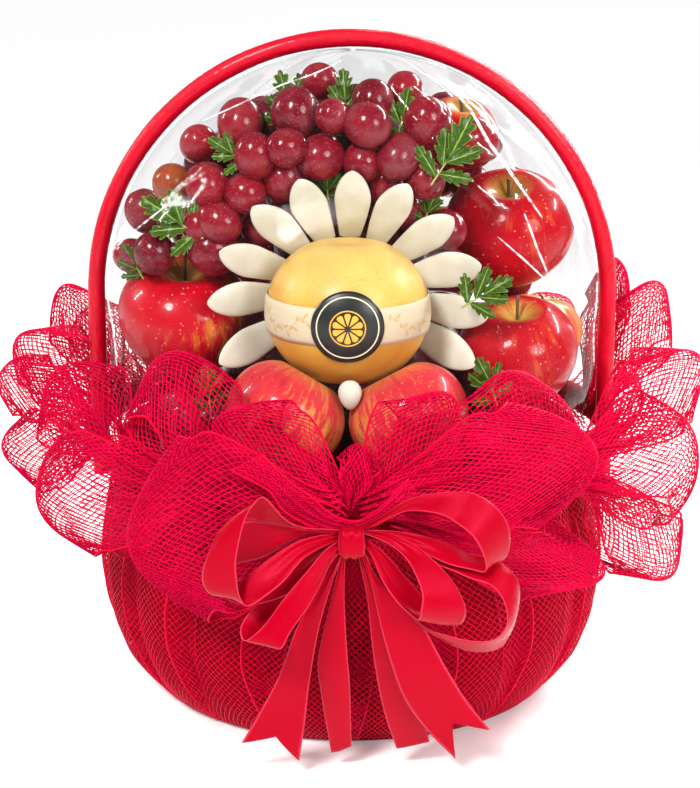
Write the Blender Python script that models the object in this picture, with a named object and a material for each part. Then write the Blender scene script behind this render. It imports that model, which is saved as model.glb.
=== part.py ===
"""Fruit gift basket: a mesh-wrapped basket with a hoop handle, heaped with fruit under clear film,
with a ruff of mesh ribbon loops round the rim and a satin bow in front.

Metres, +Z up. The origin is the centre of the base, the front faces -Y and the handle spans X.
"""

import math
import random

import bpy
import bmesh
from mathutils import Matrix, Vector

# ---- driving dimensions -------------------------------------------------------------------
HANDLE_TOP = 0.470          # the whole height
HANDLE_REACH = 0.182        # from the middle to the centreline of a handle leg
HANDLE_TUBE = 0.0062        # tube radius with its ribbon wrapping
HANDLE_FOOT = 0.150         # height of the handle's ends, behind the ruff

BASE_RADIUS = 0.140
BELLY_RADIUS = 0.178
BELLY_HEIGHT = 0.092
RIM_RADIUS = 0.165
RIM_HEIGHT = 0.187
FILL_HEIGHT = 0.1825        # the level that the fruit stands on
PLEATS = 18
PLEAT_DEPTH = 0.0032

DOME_CENTRE = 0.2818        # height at which the film dome starts to close
DOME_WIDE = 0.1738          # half width, along X
DOME_DEEP = 0.1690          # half depth, along Y
DOME_TALL = 0.1742          # from the dome's centre to its top
FILM_WALL = 0.0006
FILM_FOOT = 0.1895

PEAR_WIDE = 0.0552
PEAR_TALL = 0.0512
PEAR_AT = Vector((-0.003, -0.088, 0.291))

GAP = 0.0005                # clearance that every nest keeps
RUFF_RADIUS = 0.1845        # the gathered cord of mesh that the loops spring from
RUFF_HEIGHT = 0.187
MESH_SHEET = 0.0013
MESH_CURL = 0.32            # how much shorter a mesh loop is along its hems than along its middle
SATIN_SHEET = 0.0010
KNOT_AT = Vector((-0.0005, -0.2240, 0.1690))

# ---- colours --------------------------------------------------------------------------------
CRIMSON_MESH = (0.62, 0.010, 0.085)
DEEP_RED_WRAP = (0.36, 0.004, 0.030)
SATIN_ROSE = (0.72, 0.010, 0.075)
HANDLE_RED = (0.68, 0.006, 0.030)
APPLE_RED = (0.52, 0.018, 0.022)
PEAR_GOLD = (0.78, 0.42, 0.08)
PETAL_CREAM = (0.86, 0.83, 0.72)
GRAPE_PURPLE = (0.27, 0.018, 0.045)
LEAF_GREEN = (0.10, 0.25, 0.03)
BAND_CREAM = (0.85, 0.70, 0.50)
LABEL_BLACK = (0.012, 0.013, 0.012)
FILM_CLEAR = (0.90, 0.92, 0.93)


def clear_scene():
    for thing in list(bpy.data.objects):
        bpy.data.objects.remove(thing, do_unlink=True)


def material(name, colour, roughness=0.5, alpha=1.0):
    made = bpy.data.materials.get(name)
    if made is None:
        made = bpy.data.materials.new(name)
        made.use_nodes = True
        shader = made.node_tree.nodes["Principled BSDF"]
        shader.inputs["Base Color"].default_value = (*colour, 1.0)
        shader.inputs["Roughness"].default_value = roughness
        shader.inputs["Alpha"].default_value = alpha
    return made


def mesh_object(name, points, faces, finish=None):
    """A closed mesh whose faces are turned to point out."""
    mesh = bpy.data.meshes.new(name)
    mesh.from_pydata([tuple(p) for p in points], [], faces)
    form = bmesh.new()
    form.from_mesh(mesh)
    bmesh.ops.recalc_face_normals(form, faces=form.faces)
    form.to_mesh(mesh)
    form.free()
    made = bpy.data.objects.new(name, mesh)
    bpy.context.scene.collection.objects.link(made)
    if finish is not None:
        mesh.materials.append(finish)
    mesh.shade_smooth()
    mesh.set_sharp_from_angle(angle=math.radians(40))
    return made


def applied_boolean(target, tools, operation, solver="MANIFOLD"):
    """One Boolean with a collection of tools, applied; the tools are then removed."""
    group = bpy.data.collections.new("tools")
    bpy.context.scene.collection.children.link(group)
    for tool in tools:
        group.objects.link(tool)
    cut = target.modifiers.new("boolean", "BOOLEAN")
    cut.operation = operation
    cut.operand_type = "COLLECTION"
    cut.collection = group
    cut.solver = solver
    view = bpy.context.evaluated_depsgraph_get()
    result = bpy.data.meshes.new_from_object(target.evaluated_get(view))
    target.modifiers.clear()
    old = target.data
    target.data = result
    bpy.data.meshes.remove(old)
    for tool in list(group.objects):
        bpy.data.objects.remove(tool, do_unlink=True)
    bpy.data.collections.remove(group)
    return target


def keep_largest_body(target):
    """Drops the loose scraps that a cut leaves."""
    form = bmesh.new()
    form.from_mesh(target.data)
    unseen = set(form.verts)
    islands = []
    while unseen:
        seed = unseen.pop()
        island, front = [seed], [seed]
        while front:
            point = front.pop()
            for edge in point.link_edges:
                other = edge.other_vert(point)
                if other in unseen:
                    unseen.discard(other)
                    island.append(other)
                    front.append(other)
        islands.append(island)
    islands.sort(key=len, reverse=True)
    for island in islands[1:]:
        bmesh.ops.delete(form, geom=island, context="VERTS")
    form.to_mesh(target.data)
    form.free()
    return target


def grid_faces(rows, columns, closed_rows=False, closed_columns=False, first=0):
    """Quads over a grid of points that is numbered row by row."""
    faces = []
    for i in range(rows if closed_rows else rows - 1):
        for j in range(columns if closed_columns else columns - 1):
            a, b = i * columns + j, i * columns + (j + 1) % columns
            c, d = ((i + 1) % rows) * columns + (j + 1) % columns, ((i + 1) % rows) * columns + j
            faces.append((first + a, first + b, first + c, first + d))
    return faces


def turned_solid(name, profile, sides, finish=None, shape=None):
    """A solid of revolution about Z, closed by a point at each end. shape(angle, r, z) may move a point."""
    points = []
    for r, z in profile[1:-1]:
        for k in range(sides):
            angle = math.tau * k / sides
            radius, height = shape(angle, r, z) if shape else (r, z)
            points.append((radius * math.cos(angle), radius * math.sin(angle), height))
    rings = len(profile) - 2
    faces = grid_faces(rings, sides, closed_columns=True)
    first, last = len(points), len(points) + 1
    points += [(0, 0, profile[0][1]), (0, 0, profile[-1][1])]
    for k in range(sides):
        after = (k + 1) % sides
        faces.append((first, after, k))
        faces.append((last, (rings - 1) * sides + k, (rings - 1) * sides + after))
    return mesh_object(name, points, faces, finish)


def frame_from(axis, hint=Vector((0, 0, 1))):
    """A rotation whose Z is the axis and whose X leans towards the hint."""
    z = Vector(axis).normalized()
    x = (Vector(hint) - z * z.dot(Vector(hint)))
    if x.length < 1e-6:
        x = Vector((1, 0, 0)) - z * z.x
    x.normalize()
    return Matrix((x, z.cross(x), z)).transposed()


def smooth_step(t):
    t = min(1.0, max(0.0, t))
    return t * t * (3 - 2 * t)


# ---- basket: gathered mesh over a bowl, filled to just under the rim -----------------------------
def basket_profile():
    """(radius, height) from the middle of the fill, over the lip and down to the middle of the base."""
    lip = 0.006
    wall = [(RIM_RADIUS, RIM_HEIGHT), (0.1725, 0.142), (BELLY_RADIUS, BELLY_HEIGHT)]
    wall += [(0.1745, 0.060), (0.1640, 0.030), (0.1520, 0.0105), (BASE_RADIUS, 0.0)]
    inside = [(0.0, FILL_HEIGHT), (RIM_RADIUS - 3 * lip, FILL_HEIGHT), (RIM_RADIUS - 1.2 * lip, RIM_HEIGHT)]
    return inside + wall + [(0.0, 0.0)]


def pleated(angle, r, z):
    """Soft pleats on the wall only: the lip, the fill and the base stay plain."""
    on_wall = smooth_step((r - BASE_RADIUS) / 0.012) * smooth_step((RIM_HEIGHT - z) / 0.02)
    wave = math.sin(PLEATS * angle + 0.6 * math.sin(3 * angle))
    return r + PLEAT_DEPTH * on_wall * wave, z


def make_basket():
    profile = basket_profile()
    return turned_solid("basket", profile, 3 * PLEATS, material("deep_red_mesh", DEEP_RED_WRAP, 0.6), pleated)


# ---- handle: one bent tube -------------------------------------------------------------------
def handle_path(foot):
    springline = HANDLE_TOP - HANDLE_TUBE - HANDLE_REACH
    arc_steps, leg_steps = 24, 2
    right = [(HANDLE_REACH, foot + (springline - foot) * k / leg_steps) for k in range(leg_steps)]
    arc = [
        (HANDLE_REACH * math.cos(math.pi * k / arc_steps), springline + HANDLE_REACH * math.sin(math.pi * k / arc_steps))
        for k in range(arc_steps + 1)
    ]
    left = [(-x, z) for x, z in reversed(right)]
    return right + arc + left


def make_handle(name, tube, foot=HANDLE_FOOT, finish=None):
    path = handle_path(foot)
    sides = 8
    points = []
    for i, (x, z) in enumerate(path):
        before, after = path[max(i - 1, 0)], path[min(i + 1, len(path) - 1)]
        along = Vector((after[0] - before[0], 0, after[1] - before[1])).normalized()
        across = along.cross(Vector((0, 1, 0)))
        for k in range(sides):
            turn = math.tau * (k + 0.5) / sides
            points.append(Vector((x, 0, z)) + tube * (across * math.cos(turn) + Vector((0, math.sin(turn), 0))))
    faces = grid_faces(len(path), sides, closed_columns=True)
    faces.append(tuple(range(sides)))
    faces.append(tuple((len(path) - 1) * sides + k for k in range(sides)))
    return mesh_object(name, points, faces, finish)


# ---- film: a thin dome, open below, that closes over the fruit ---------------------------------
def dome_point(angle, height, inset=0.0):
    """A point of the dome at a height, its half width and half depth following an ellipse."""
    rise = max(height - DOME_CENTRE, 0) / (DOME_TALL - inset)
    share = math.sqrt(max(0.0, 1 - rise * rise))
    tuck = 1 - 0.055 * smooth_step((0.235 - height) / 0.05)
    wide, deep = (DOME_WIDE - inset) * share * tuck, (DOME_DEEP - inset) * share * tuck
    return Vector((wide * math.cos(angle), deep * math.sin(angle), height))


def make_film():
    sides, rings = 26, 7
    heights = [FILM_FOOT, 0.235]
    heights += [DOME_CENTRE + DOME_TALL * math.sin(math.pi / 2 * k / (rings - 1)) for k in range(rings - 1)]
    points = []
    for inset in (0.0, FILM_WALL):
        for z in heights:
            reach = min(z, DOME_CENTRE + DOME_TALL - inset)
            points += [dome_point(math.tau * k / sides, reach, inset) for k in range(sides)]
        points.append(Vector((0, 0, DOME_CENTRE + DOME_TALL - inset)))
    count = len(heights)
    skin = count * sides + 1
    faces = grid_faces(count, sides, closed_columns=True) + grid_faces(count, sides, closed_columns=True, first=skin)
    for k in range(sides):
        after = (k + 1) % sides
        for first in (0, skin):
            faces.append((first + count * sides, first + (count - 1) * sides + k, first + (count - 1) * sides + after))
        faces.append((k, after, skin + after, skin + k))
    return mesh_object("film", points, faces, material("clear_film", FILM_CLEAR, 0.05, 0.3))


# ---- fruit --------------------------------------------------------------------------------
def fruit_profile(radius, tall, rings, top_dip, foot_dip, shoulder):
    """A pome's half section: wider near the top, with a hollow round the stem and one at the foot."""
    profile = []
    for k in range(rings + 1):
        turn = math.pi * k / rings
        r = radius * math.sin(turn) * (1 + shoulder * math.cos(turn)) if 0 < k < rings else 0.0
        z = tall * math.cos(turn)
        if z > 0:
            z -= top_dip * math.exp(-((r / (0.34 * radius)) ** 2))
        else:
            z += foot_dip * math.exp(-((r / (0.30 * radius)) ** 2))
        profile.append((r, z))
    return profile


# name: centre, radius, axis that the stem points along, whether a stem shows
APPLES = {
    "apple_left": ((-0.1175, -0.028, 0.2730), 0.0470, (0.05, -0.28, 1.0), True),
    "apple_right_top": ((0.1110, 0.004, 0.3290), 0.0455, (-0.05, -0.42, 1.0), False),
    "apple_right_low": ((0.1150, -0.052, 0.2530), 0.0420, (-0.06, -0.30, 1.0), True),
    "apple_right_back": ((0.1350, 0.020, 0.2500), 0.0320, (0.20, 0.10, 1.0), False),
    "apple_top_back": ((0.0760, 0.046, 0.3900), 0.0290, (0.15, -0.30, 1.0), False),
    "apple_front_left": ((-0.0455, -0.1180, 0.2240), 0.0412, (0.62, 0.30, 1.0), False),
    "apple_front_right": ((0.0385, -0.1180, 0.2230), 0.0412, (-0.55, 0.30, 1.0), False),
    "apple_back_left": ((-0.0840, 0.090, 0.2400), 0.0430, (-0.10, 0.30, 1.0), False),
    "apple_back_middle": ((0.0050, 0.1160, 0.2330), 0.0440, (0.05, 0.25, 1.0), False),
    "apple_back_right": ((0.0700, 0.0860, 0.2960), 0.0400, (0.10, 0.35, 1.0), False),
}
APPLE_HEIGHT = 0.90         # share of an apple's radius from its middle to its top


def apple_solid(name, grow=0.0, sides=14, rings=7, finish=None):
    centre, radius, axis, stem = APPLES[name]
    radius += grow
    profile = fruit_profile(radius, radius * APPLE_HEIGHT, rings, 0.0 if grow else 0.26 * radius, 0.12 * radius, 0.07)
    apple = turned_solid(name, profile, sides, finish)
    if stem and not grow:
        stalk = stem_solid(radius)
        applied_boolean(apple, [stalk], "UNION", "EXACT")
    apple.data.transform(Matrix.Translation(centre) @ frame_from(axis).to_4x4())
    return apple


def stem_solid(radius):
    """A stalk that stands in the top hollow and leans a little."""
    foot, top = radius * (APPLE_HEIGHT - 0.34), radius * (APPLE_HEIGHT + 0.10)
    points, sides = [], 6
    for z, r, lean in ((foot, 0.0012, 0.0), ((foot + top) / 2, 0.0011, 0.001), (top, 0.0017, 0.004)):
        points += [(lean + r * math.cos(math.tau * k / sides), r * math.sin(math.tau * k / sides), z) for k in range(sides)]
    faces = grid_faces(3, sides, closed_columns=True) + [tuple(range(sides)), tuple(range(2 * sides, 3 * sides))]
    return mesh_object("stalk", points, faces)


def pear_solid(name, grow=0.0, sides=18, rings=10, finish=None):
    profile = fruit_profile(PEAR_WIDE + grow, PEAR_TALL + grow, rings, 0.0 if grow else 0.006, 0.004, 0.0)
    pear = turned_solid(name, profile, sides, finish)
    pear.data.transform(Matrix.Translation(PEAR_AT))
    return pear


# ---- band and label round the pear ---------------------------------------------------------------
BAND_HALF = 0.0125
PAPER = 0.0007
LABEL_RADIUS = 0.0240


def pear_radius(z, lift):
    """How far the pear's skin, lifted, is from its axis at a height over its middle."""
    return (PEAR_WIDE + lift) * math.sqrt(max(0.0, 1 - (z / (PEAR_TALL + lift)) ** 2))


def make_band():
    sides, steps = 18, 2
    section = [(pear_radius(z, GAP), z) for z in (-BAND_HALF, 0.0, BAND_HALF)]
    section += [(pear_radius(z, GAP + PAPER), z) for z in (BAND_HALF, 0.0, -BAND_HALF)]
    points = [
        PEAR_AT + Vector((r * math.cos(math.tau * k / sides), r * math.sin(math.tau * k / sides), z))
        for r, z in section
        for k in range(sides)
    ]
    faces = grid_faces(2 * (steps + 1), sides, closed_rows=True, closed_columns=True)
    return mesh_object("pear_band", points, faces, material("cream_paper", BAND_CREAM, 0.7))


def make_label():
    """A round card bent over the band, its middle turned to the front."""
    sides, rings = 18, 2
    lift = GAP + PAPER + GAP
    points = []
    for layer in (lift, lift + 1.6 * PAPER):
        points.append(label_point(0, 0, layer))
        for ring in range(1, rings + 1):
            for k in range(sides):
                points.append(label_point(LABEL_RADIUS * ring / rings, math.tau * k / sides, layer))
    skin = 1 + rings * sides
    faces = []
    for first in (0, skin):
        faces += grid_faces(rings, sides, closed_columns=True, first=first + 1)
        faces += [(first, first + 1 + k, first + 1 + (k + 1) % sides) for k in range(sides)]
    outer = 1 + (rings - 1) * sides
    for k in range(sides):
        after = (k + 1) % sides
        faces.append((outer + k, outer + after, skin + outer + after, skin + outer + k))
    return mesh_object("pear_label", points, faces, material("label_black", LABEL_BLACK, 0.4))


def label_point(radius, angle, lift):
    across, up = radius * math.cos(angle), radius * math.sin(angle)
    depth = 1 - (across / (PEAR_WIDE + lift)) ** 2 - (up / (PEAR_TALL + lift)) ** 2
    return PEAR_AT + Vector((across, -(PEAR_WIDE + lift) * math.sqrt(max(0.05, depth)), up))


# ---- petals round the pear --------------------------------------------------------------------
PETAL_ANGLES = (-24, -3, 19, 42, 65, 88, 110, 132, 155, 177, 203)
PETAL_ROOT, PETAL_TIP = 0.0520, 0.0945
PETAL_WIDE, PETAL_THICK = 0.0242, 0.0056
PETAL_ROOT_BACK, PETAL_TIP_BACK = 0.0285, -0.0010


def petal_solid(name, turn, grow=0.0, sides=8, rings=4, finish=None):
    """An almond-shaped slice that springs from behind the pear and leans to the front at its tip."""
    middle = (PETAL_ROOT + PETAL_TIP) / 2
    half = (PETAL_TIP - PETAL_ROOT) / 2 + grow
    outward = Vector((math.cos(turn), 0, math.sin(turn)))
    lean = Vector((0, -1, 0)) * (PETAL_ROOT_BACK - PETAL_TIP_BACK) / (2 * (PETAL_TIP - PETAL_ROOT) / 2)
    along = (outward + lean).normalized()
    spread = (outward + lean).length
    side = Vector((-math.sin(turn), 0, math.cos(turn)))
    face = along.cross(side)
    centre = PEAR_AT + outward * middle + Vector((0, (PETAL_ROOT_BACK + PETAL_TIP_BACK) / 2, 0))
    points = [centre - along * half * spread]
    for ring in range(1, rings):
        t = -math.cos(math.pi * ring / rings)
        width = (PETAL_WIDE / 2 + grow) * math.sqrt(1 - t * t) * (1 - 0.12 * t)
        thick = (PETAL_THICK / 2 + grow) * math.sqrt(1 - t * t)
        for k in range(sides):
            a = math.tau * k / sides
            points.append(centre + along * half * spread * t + side * width * math.cos(a) + face * thick * math.sin(a))
    points.append(centre + along * half * spread)
    last = len(points) - 1
    faces = grid_faces(rings - 1, sides, closed_columns=True, first=1)
    for k in range(sides):
        after = (k + 1) % sides
        faces.append((0, 1 + after, 1 + k))
        faces.append((last, 1 + (rings - 2) * sides + k, 1 + (rings - 2) * sides + after))
    return mesh_object(name, points, faces, finish)


def petal_ring_nest(sides=14):
    """One ring of room for all the petals, open to the front."""
    root = Vector((PETAL_ROOT - NEST_GROW / 2, PETAL_ROOT_BACK + NEST_GROW / 3))
    tip = Vector((PETAL_TIP + NEST_GROW / 2, PETAL_TIP_BACK - NEST_GROW / 3)) / math.cos(math.pi / sides)
    across = (PETAL_THICK + NEST_GROW) / 2 * Vector((root.y - tip.y, tip.x - root.x)).normalized()
    points = []
    for k in range(sides):
        turn = math.tau * k / sides
        for reach, back in (root - across, root + across, tip + across, tip - across):
            points.append(PEAR_AT + Vector((reach * math.cos(turn), back, reach * math.sin(turn))))
    return mesh_object("petal_nest", points, grid_faces(sides, 4, closed_rows=True, closed_columns=True))


TOOTH_AT = Vector((-0.0015, -0.1360, 0.2455))


def tooth_solid(name, grow=0.0, finish=None):
    """The tip of the lowest petal, which shows between the two front apples."""
    profile = [(0.0, 0.0088 + grow)]
    profile += [((0.0078 + grow) * w, h) for w, h in ((0.62, 0.0072), (0.98, 0.0022), (0.80, -0.0042), (0.46, -0.0090))]
    profile.append((0.0, -0.0110 - grow))
    tooth = turned_solid(name, profile, 8, finish)
    tooth.data.transform(Matrix.Translation(TOOTH_AT) @ Matrix.Diagonal((1.0, 0.72, 1.0, 1.0)))
    return tooth


# ---- leaf sprigs --------------------------------------------------------------------------------
# centre of the sprig's foot, direction that it points, direction that its face looks, length
SPRIGS = (
    ((-0.0400, -0.0400, 0.4100), (-0.26, 0.45, 0.85), 0.033),
    ((-0.0050, -0.0500, 0.4140), (0.03, 0.40, 0.90), 0.030),
    ((0.0310, -0.0600, 0.4060), (0.26, 0.25, 0.95), 0.028),
    ((0.0550, -0.0880, 0.3800), (0.57, 0.30, 0.80), 0.042),
    ((-0.0730, -0.0760, 0.3900), (-0.80, 0.30, 0.50), 0.025),
    ((-0.1040, -0.0760, 0.3400), (-0.87, 0.30, 0.50), 0.040),
    ((-0.1450, -0.0480, 0.3060), (-0.50, 0.15, 0.87), 0.023),
    ((-0.0165, -0.0620, 0.3620), (0.00, -0.10, 1.00), 0.024),
    ((0.0490, -0.0620, 0.3470), (0.34, 0.00, 0.94), 0.022),
    ((0.0760, -0.1040, 0.2980), (0.87, 0.10, 0.50), 0.033),
    ((-0.0950, -0.1120, 0.2300), (-0.09, 0.10, 1.00), 0.028),
    ((0.0960, -0.1160, 0.2350), (-0.30, 0.10, 0.90), 0.030),
    ((-0.0300, 0.0640, 0.3960), (-0.30, -0.30, 0.90), 0.034),
    ((-0.0500, 0.1420, 0.3000), (-0.50, -0.10, 0.80), 0.036),
)
LEAFLETS = 5
LEAF_SHEET = 0.0011


def sprig_outline(length):
    """Five pointed leaflets in a fan, as (across, along) points round the sprig's foot."""
    outline = []
    spread = math.radians(150)
    steps = 2 * LEAFLETS
    for k in range(steps + 1):
        turn = math.pi / 2 + spread * (0.5 - k / steps)
        reach = (0.40, 1.0)[k % 2]
        middle = 1 - 0.45 * abs(0.5 - k / steps) * 2
        outline.append((length * reach * middle * math.cos(turn), length * reach * middle * math.sin(turn)))
    stem = 0.0014
    return outline + [(stem, -0.12 * length), (-stem, -0.12 * length)]


def sprig_solid(name, foot, pointing, length, thick=LEAF_SHEET, finish=None):
    up = Vector(pointing).normalized()
    look = Vector((0, -1 if foot[1] < 0.02 else 1, 0.25))
    across = up.cross(look).normalized()
    face = across.cross(up).normalized()
    outline = sprig_outline(length)
    points = []
    for layer in (0.5, -0.5):
        points.append(Vector(foot) + up * 0.07 * length + face * (layer * thick + 0.0010))
        for u, v in outline:
            wave = 0.0022 * math.sin(4.0 * math.atan2(u, v + 0.2 * length)) - 0.35 * (u * u + v * v) / length * 0.5
            points.append(Vector(foot) + across * u + up * v + face * (wave + layer * thick))
    count = len(outline)
    skin = count + 1
    faces = []
    for k in range(count):
        after = (k + 1) % count
        faces.append((0, 1 + k, 1 + after))
        faces.append((skin, skin + 1 + after, skin + 1 + k))
        faces.append((1 + k, skin + 1 + k, skin + 1 + after))
        faces.append((1 + k, skin + 1 + after, 1 + after))
    return mesh_object(name, points, faces, finish)


# ---- grape heap: a core with the grapes that show fused on ---------------------------------------
# (x, z, radius, how far behind the film), all in millimetres, read row by row from the top
GRAPES = (
    (-22, 437, 12, 14), (36, 432, 12, 14), (14, 427, 13.5, 12), (-38, 419, 16, 12), (-76, 411, 15, 10),
    (-13, 419, 11.5, 14), (10, 414, 14.5, 12), (50, 413, 15.5, 12), (-105, 395, 12.5, 12), (-44, 399, 12.5, 22),
    (-65, 393, 13.5, 20), (-21, 391, 15, 22), (7, 388, 13, 27), (31, 392, 14.5, 22), (-122, 368, 13.5, 14),
    (-98, 372, 14.5, 22), (-46, 376, 14.5, 30), (-72, 367, 13.5, 28), (49, 376, 13, 32), (22, 371, 12, 38),
    (-90, 348, 14, 30), (-104, 345, 12, 38), (-144, 346, 13.5, 8), (-135, 324, 13.5, 14), (-152, 318, 11.5, 4),
    (-94, 326, 16, 20), (-45, 350, 12, 46), (-62, 341, 13.5, 44), (0, 358, 13, 48), (36, 352, 13, 46),
    (64, 340, 13, 46), (-70, 318, 13, 48), (66, 312, 13, 44), (86, 398, 13, 22),
)
# height, half width, front and back of the heap's hidden core
HEAP_RINGS = (
    (189, 105, -50, 116), (215, 122, -54, 130), (262, 128, -54, 134), (300, 128, -54, 134),
    (335, 122, -62, 128), (365, 110, -80, 116), (395, 88, -78, 96), (420, 58, -56, 70),
)
NEST_GROW = 0.0046          # coarse copies of the fruit cut the heap, so they're made this much larger
BACK_ROWS = ((0.348, 5, 0.010), (0.378, 4, 0.008), (0.404, 3, 0.006))


def grape_places():
    """(centre, radius) of every grape: the front ones by hand, the back ones in rows."""
    places = []
    for x, z, r, back in GRAPES:
        x, z, r = x / 1000, z / 1000, r / 1000
        places.append((Vector((x, heap_depth(x, z, r) + back / 1000, z)), r))
    draw = random.Random(7)
    for height, count, inset in BACK_ROWS:
        for k in range(count):
            angle = math.radians(18 + 144 * (k + 0.5 + draw.uniform(-0.15, 0.15)) / count)
            r = draw.uniform(0.0122, 0.0150)
            places.append((dome_point(angle, height + draw.uniform(-0.004, 0.004), r + inset), r))
    return places


def heap_depth(x, z, inset):
    """The Y at which a ball of that radius touches the film from inside, in front."""
    rise = max(z - DOME_CENTRE, 0) / (DOME_TALL - inset)
    room = 1 - rise * rise - (x / (DOME_WIDE - inset)) ** 2
    return -(DOME_DEEP - inset) * math.sqrt(max(0.0, room))


def grape_ball(centre, radius):
    form = bmesh.new()
    bmesh.ops.create_icosphere(form, subdivisions=1, radius=radius * 1.04)
    mesh = bpy.data.meshes.new("grape")
    form.to_mesh(mesh)
    form.free()
    turn = Matrix.Rotation(centre.x * 70 + centre.z * 90, 4, Vector((0.3, 0.5, 0.8)).normalized())
    mesh.transform(Matrix.Translation(centre) @ turn @ Matrix.Diagonal((1.0, 1.0, 1.07, 1.0)))
    ball = bpy.data.objects.new("grape", mesh)
    bpy.context.scene.collection.objects.link(ball)
    return ball


def heap_core():
    """The hidden middle of the heap: rounded squares of their own width, front and back at each height."""
    sides, middle = 16, 0.020
    points = []
    for z, half, front, back in HEAP_RINGS:
        for k in range(sides):
            c, d = math.cos(math.tau * (k + 0.5) / sides), math.sin(math.tau * (k + 0.5) / sides)
            reach = middle - front / 1000 if d < 0 else back / 1000 - middle
            points.append((math.copysign(abs(c) ** 0.7, c) * half / 1000, middle + math.copysign(abs(d) ** 0.7, d) * reach, z / 1000))
    rings = len(HEAP_RINGS)
    faces = grid_faces(rings, sides, closed_columns=True) + [tuple(range(sides))]
    faces += [(len(points), (rings - 1) * sides + k, (rings - 1) * sides + (k + 1) % sides) for k in range(sides)]
    points.append((0.0, 0.006, 0.434))
    return mesh_object("grapes", points, faces, material("grape_skin", GRAPE_PURPLE, 0.3))


def sprig_pocket(foot, pointing, length):
    """The room that a sprig takes in the heap: a box on its back, open to the outside."""
    leaf = sprig_solid("sprig_pocket", foot, pointing, length, thick=LEAF_SHEET + 5 * GAP)
    up = Vector(pointing).normalized()
    across = up.cross(Vector((0, -1 if foot[1] < 0.02 else 1, 0.25))).normalized()
    turn = Matrix((across, up, across.cross(up)))
    places = [turn @ p.co for p in leaf.data.vertices]
    bpy.data.objects.remove(leaf, do_unlink=True)
    low, high = (Vector([pick(p[i] for p in places) for i in range(3)]) for pick in (min, max))
    corners = ((low.x, low.y), (high.x, low.y), (high.x, high.y), (low.x, high.y))
    points = [turn.transposed() @ Vector((x, y, z)) for z in (low.z, high.z + 0.020) for x, y in corners]
    sides = [(k, (k + 1) % 4, 4 + (k + 1) % 4, 4 + k) for k in range(4)]
    return mesh_object("sprig_pocket", points, [(0, 1, 2, 3), (4, 5, 6, 7)] + sides)


def make_heap():
    heap = applied_boolean(heap_core(), [grape_ball(c, r) for c, r in grape_places()], "UNION")
    nests = [apple_solid(name, grow=NEST_GROW, sides=10, rings=5) for name in APPLES]
    nests.append(pear_solid("pear_nest", grow=1.3 * NEST_GROW, sides=12, rings=6))
    nests.append(petal_ring_nest())
    nests += [sprig_pocket(*row) for row in SPRIGS]
    applied_boolean(heap, nests, "DIFFERENCE")
    return keep_largest_body(heap)


# ---- ribbon loops -----------------------------------------------------------------------------
def loop_section(share, length, opening):
    """(along, across) of an egg-shaped loop that starts and ends at its foot; share runs from 0 to 1."""
    turn = math.tau * share
    along = length * (1 - math.cos(turn)) / 2
    fullness = (0.25 + 0.75 * (1 - math.cos(turn)) / 2) / 0.71
    return along, opening / 2 * math.sin(turn) * fullness


def ribbon_loop(name, foot, tip, axis, opening, width, sheet, slide=0.0, flare=0.0, steps=6, columns=4, start=0.0, gather=0.25, curl=MESH_CURL, finish=None):
    """A band of ribbon bent into a loop. axis is across the ribbon, and slide is how far its two layers part
    that way; gather is its share of width at the foot; flare makes one hem the longer. start is where round the
    loop its corners begin, in steps from the foot."""
    foot, tip = Vector(foot), Vector(tip)
    along = tip - foot
    length = along.length
    along.normalize()
    axis = Vector(axis)
    axis = (axis - along * axis.dot(along)).normalized()
    across = axis.cross(along)
    points = []
    for side in (-0.5, 0.5):
        for column in range(columns):
            edge = column / (columns - 1) - 0.5
            grown = 1 + flare * edge
            for k in range(steps):
                share = (k + start) / steps
                bulge = (1 - math.cos(math.tau * share)) / 2
                short = 1 - curl * (2 * edge) ** 2 * bulge
                u, v = loop_section(share, length * grown * short, opening * grown)
                ahead, behind = (loop_section(share + d, length * grown * short, opening * grown) for d in (0.01, -0.01))
                tangent = Vector((ahead[0] - behind[0], ahead[1] - behind[1])).normalized()
                reach = gather + (1 - gather) * smooth_step(1.7 * u / length)
                u, v = u - side * sheet * tangent.y, v + side * sheet * tangent.x
                aside = edge * width * reach + slide * math.sin(math.tau * share) * bulge
                points.append(foot + along * u + across * v + axis * aside)
    faces, skin = [], steps * columns
    for column in range(columns - 1):
        for k in range(steps):
            after = (k + 1) % steps
            a, b = column * steps, (column + 1) * steps
            faces.append((a + k, a + after, b + after, b + k))
            faces.append((skin + a + k, skin + b + k, skin + b + after, skin + a + after))
    for hem in (0, (columns - 1) * steps):
        for k in range(steps):
            after = (k + 1) % steps
            faces.append((hem + k, hem + after, skin + hem + after, skin + hem + k))
    return mesh_object(name, points, faces, finish)


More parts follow.
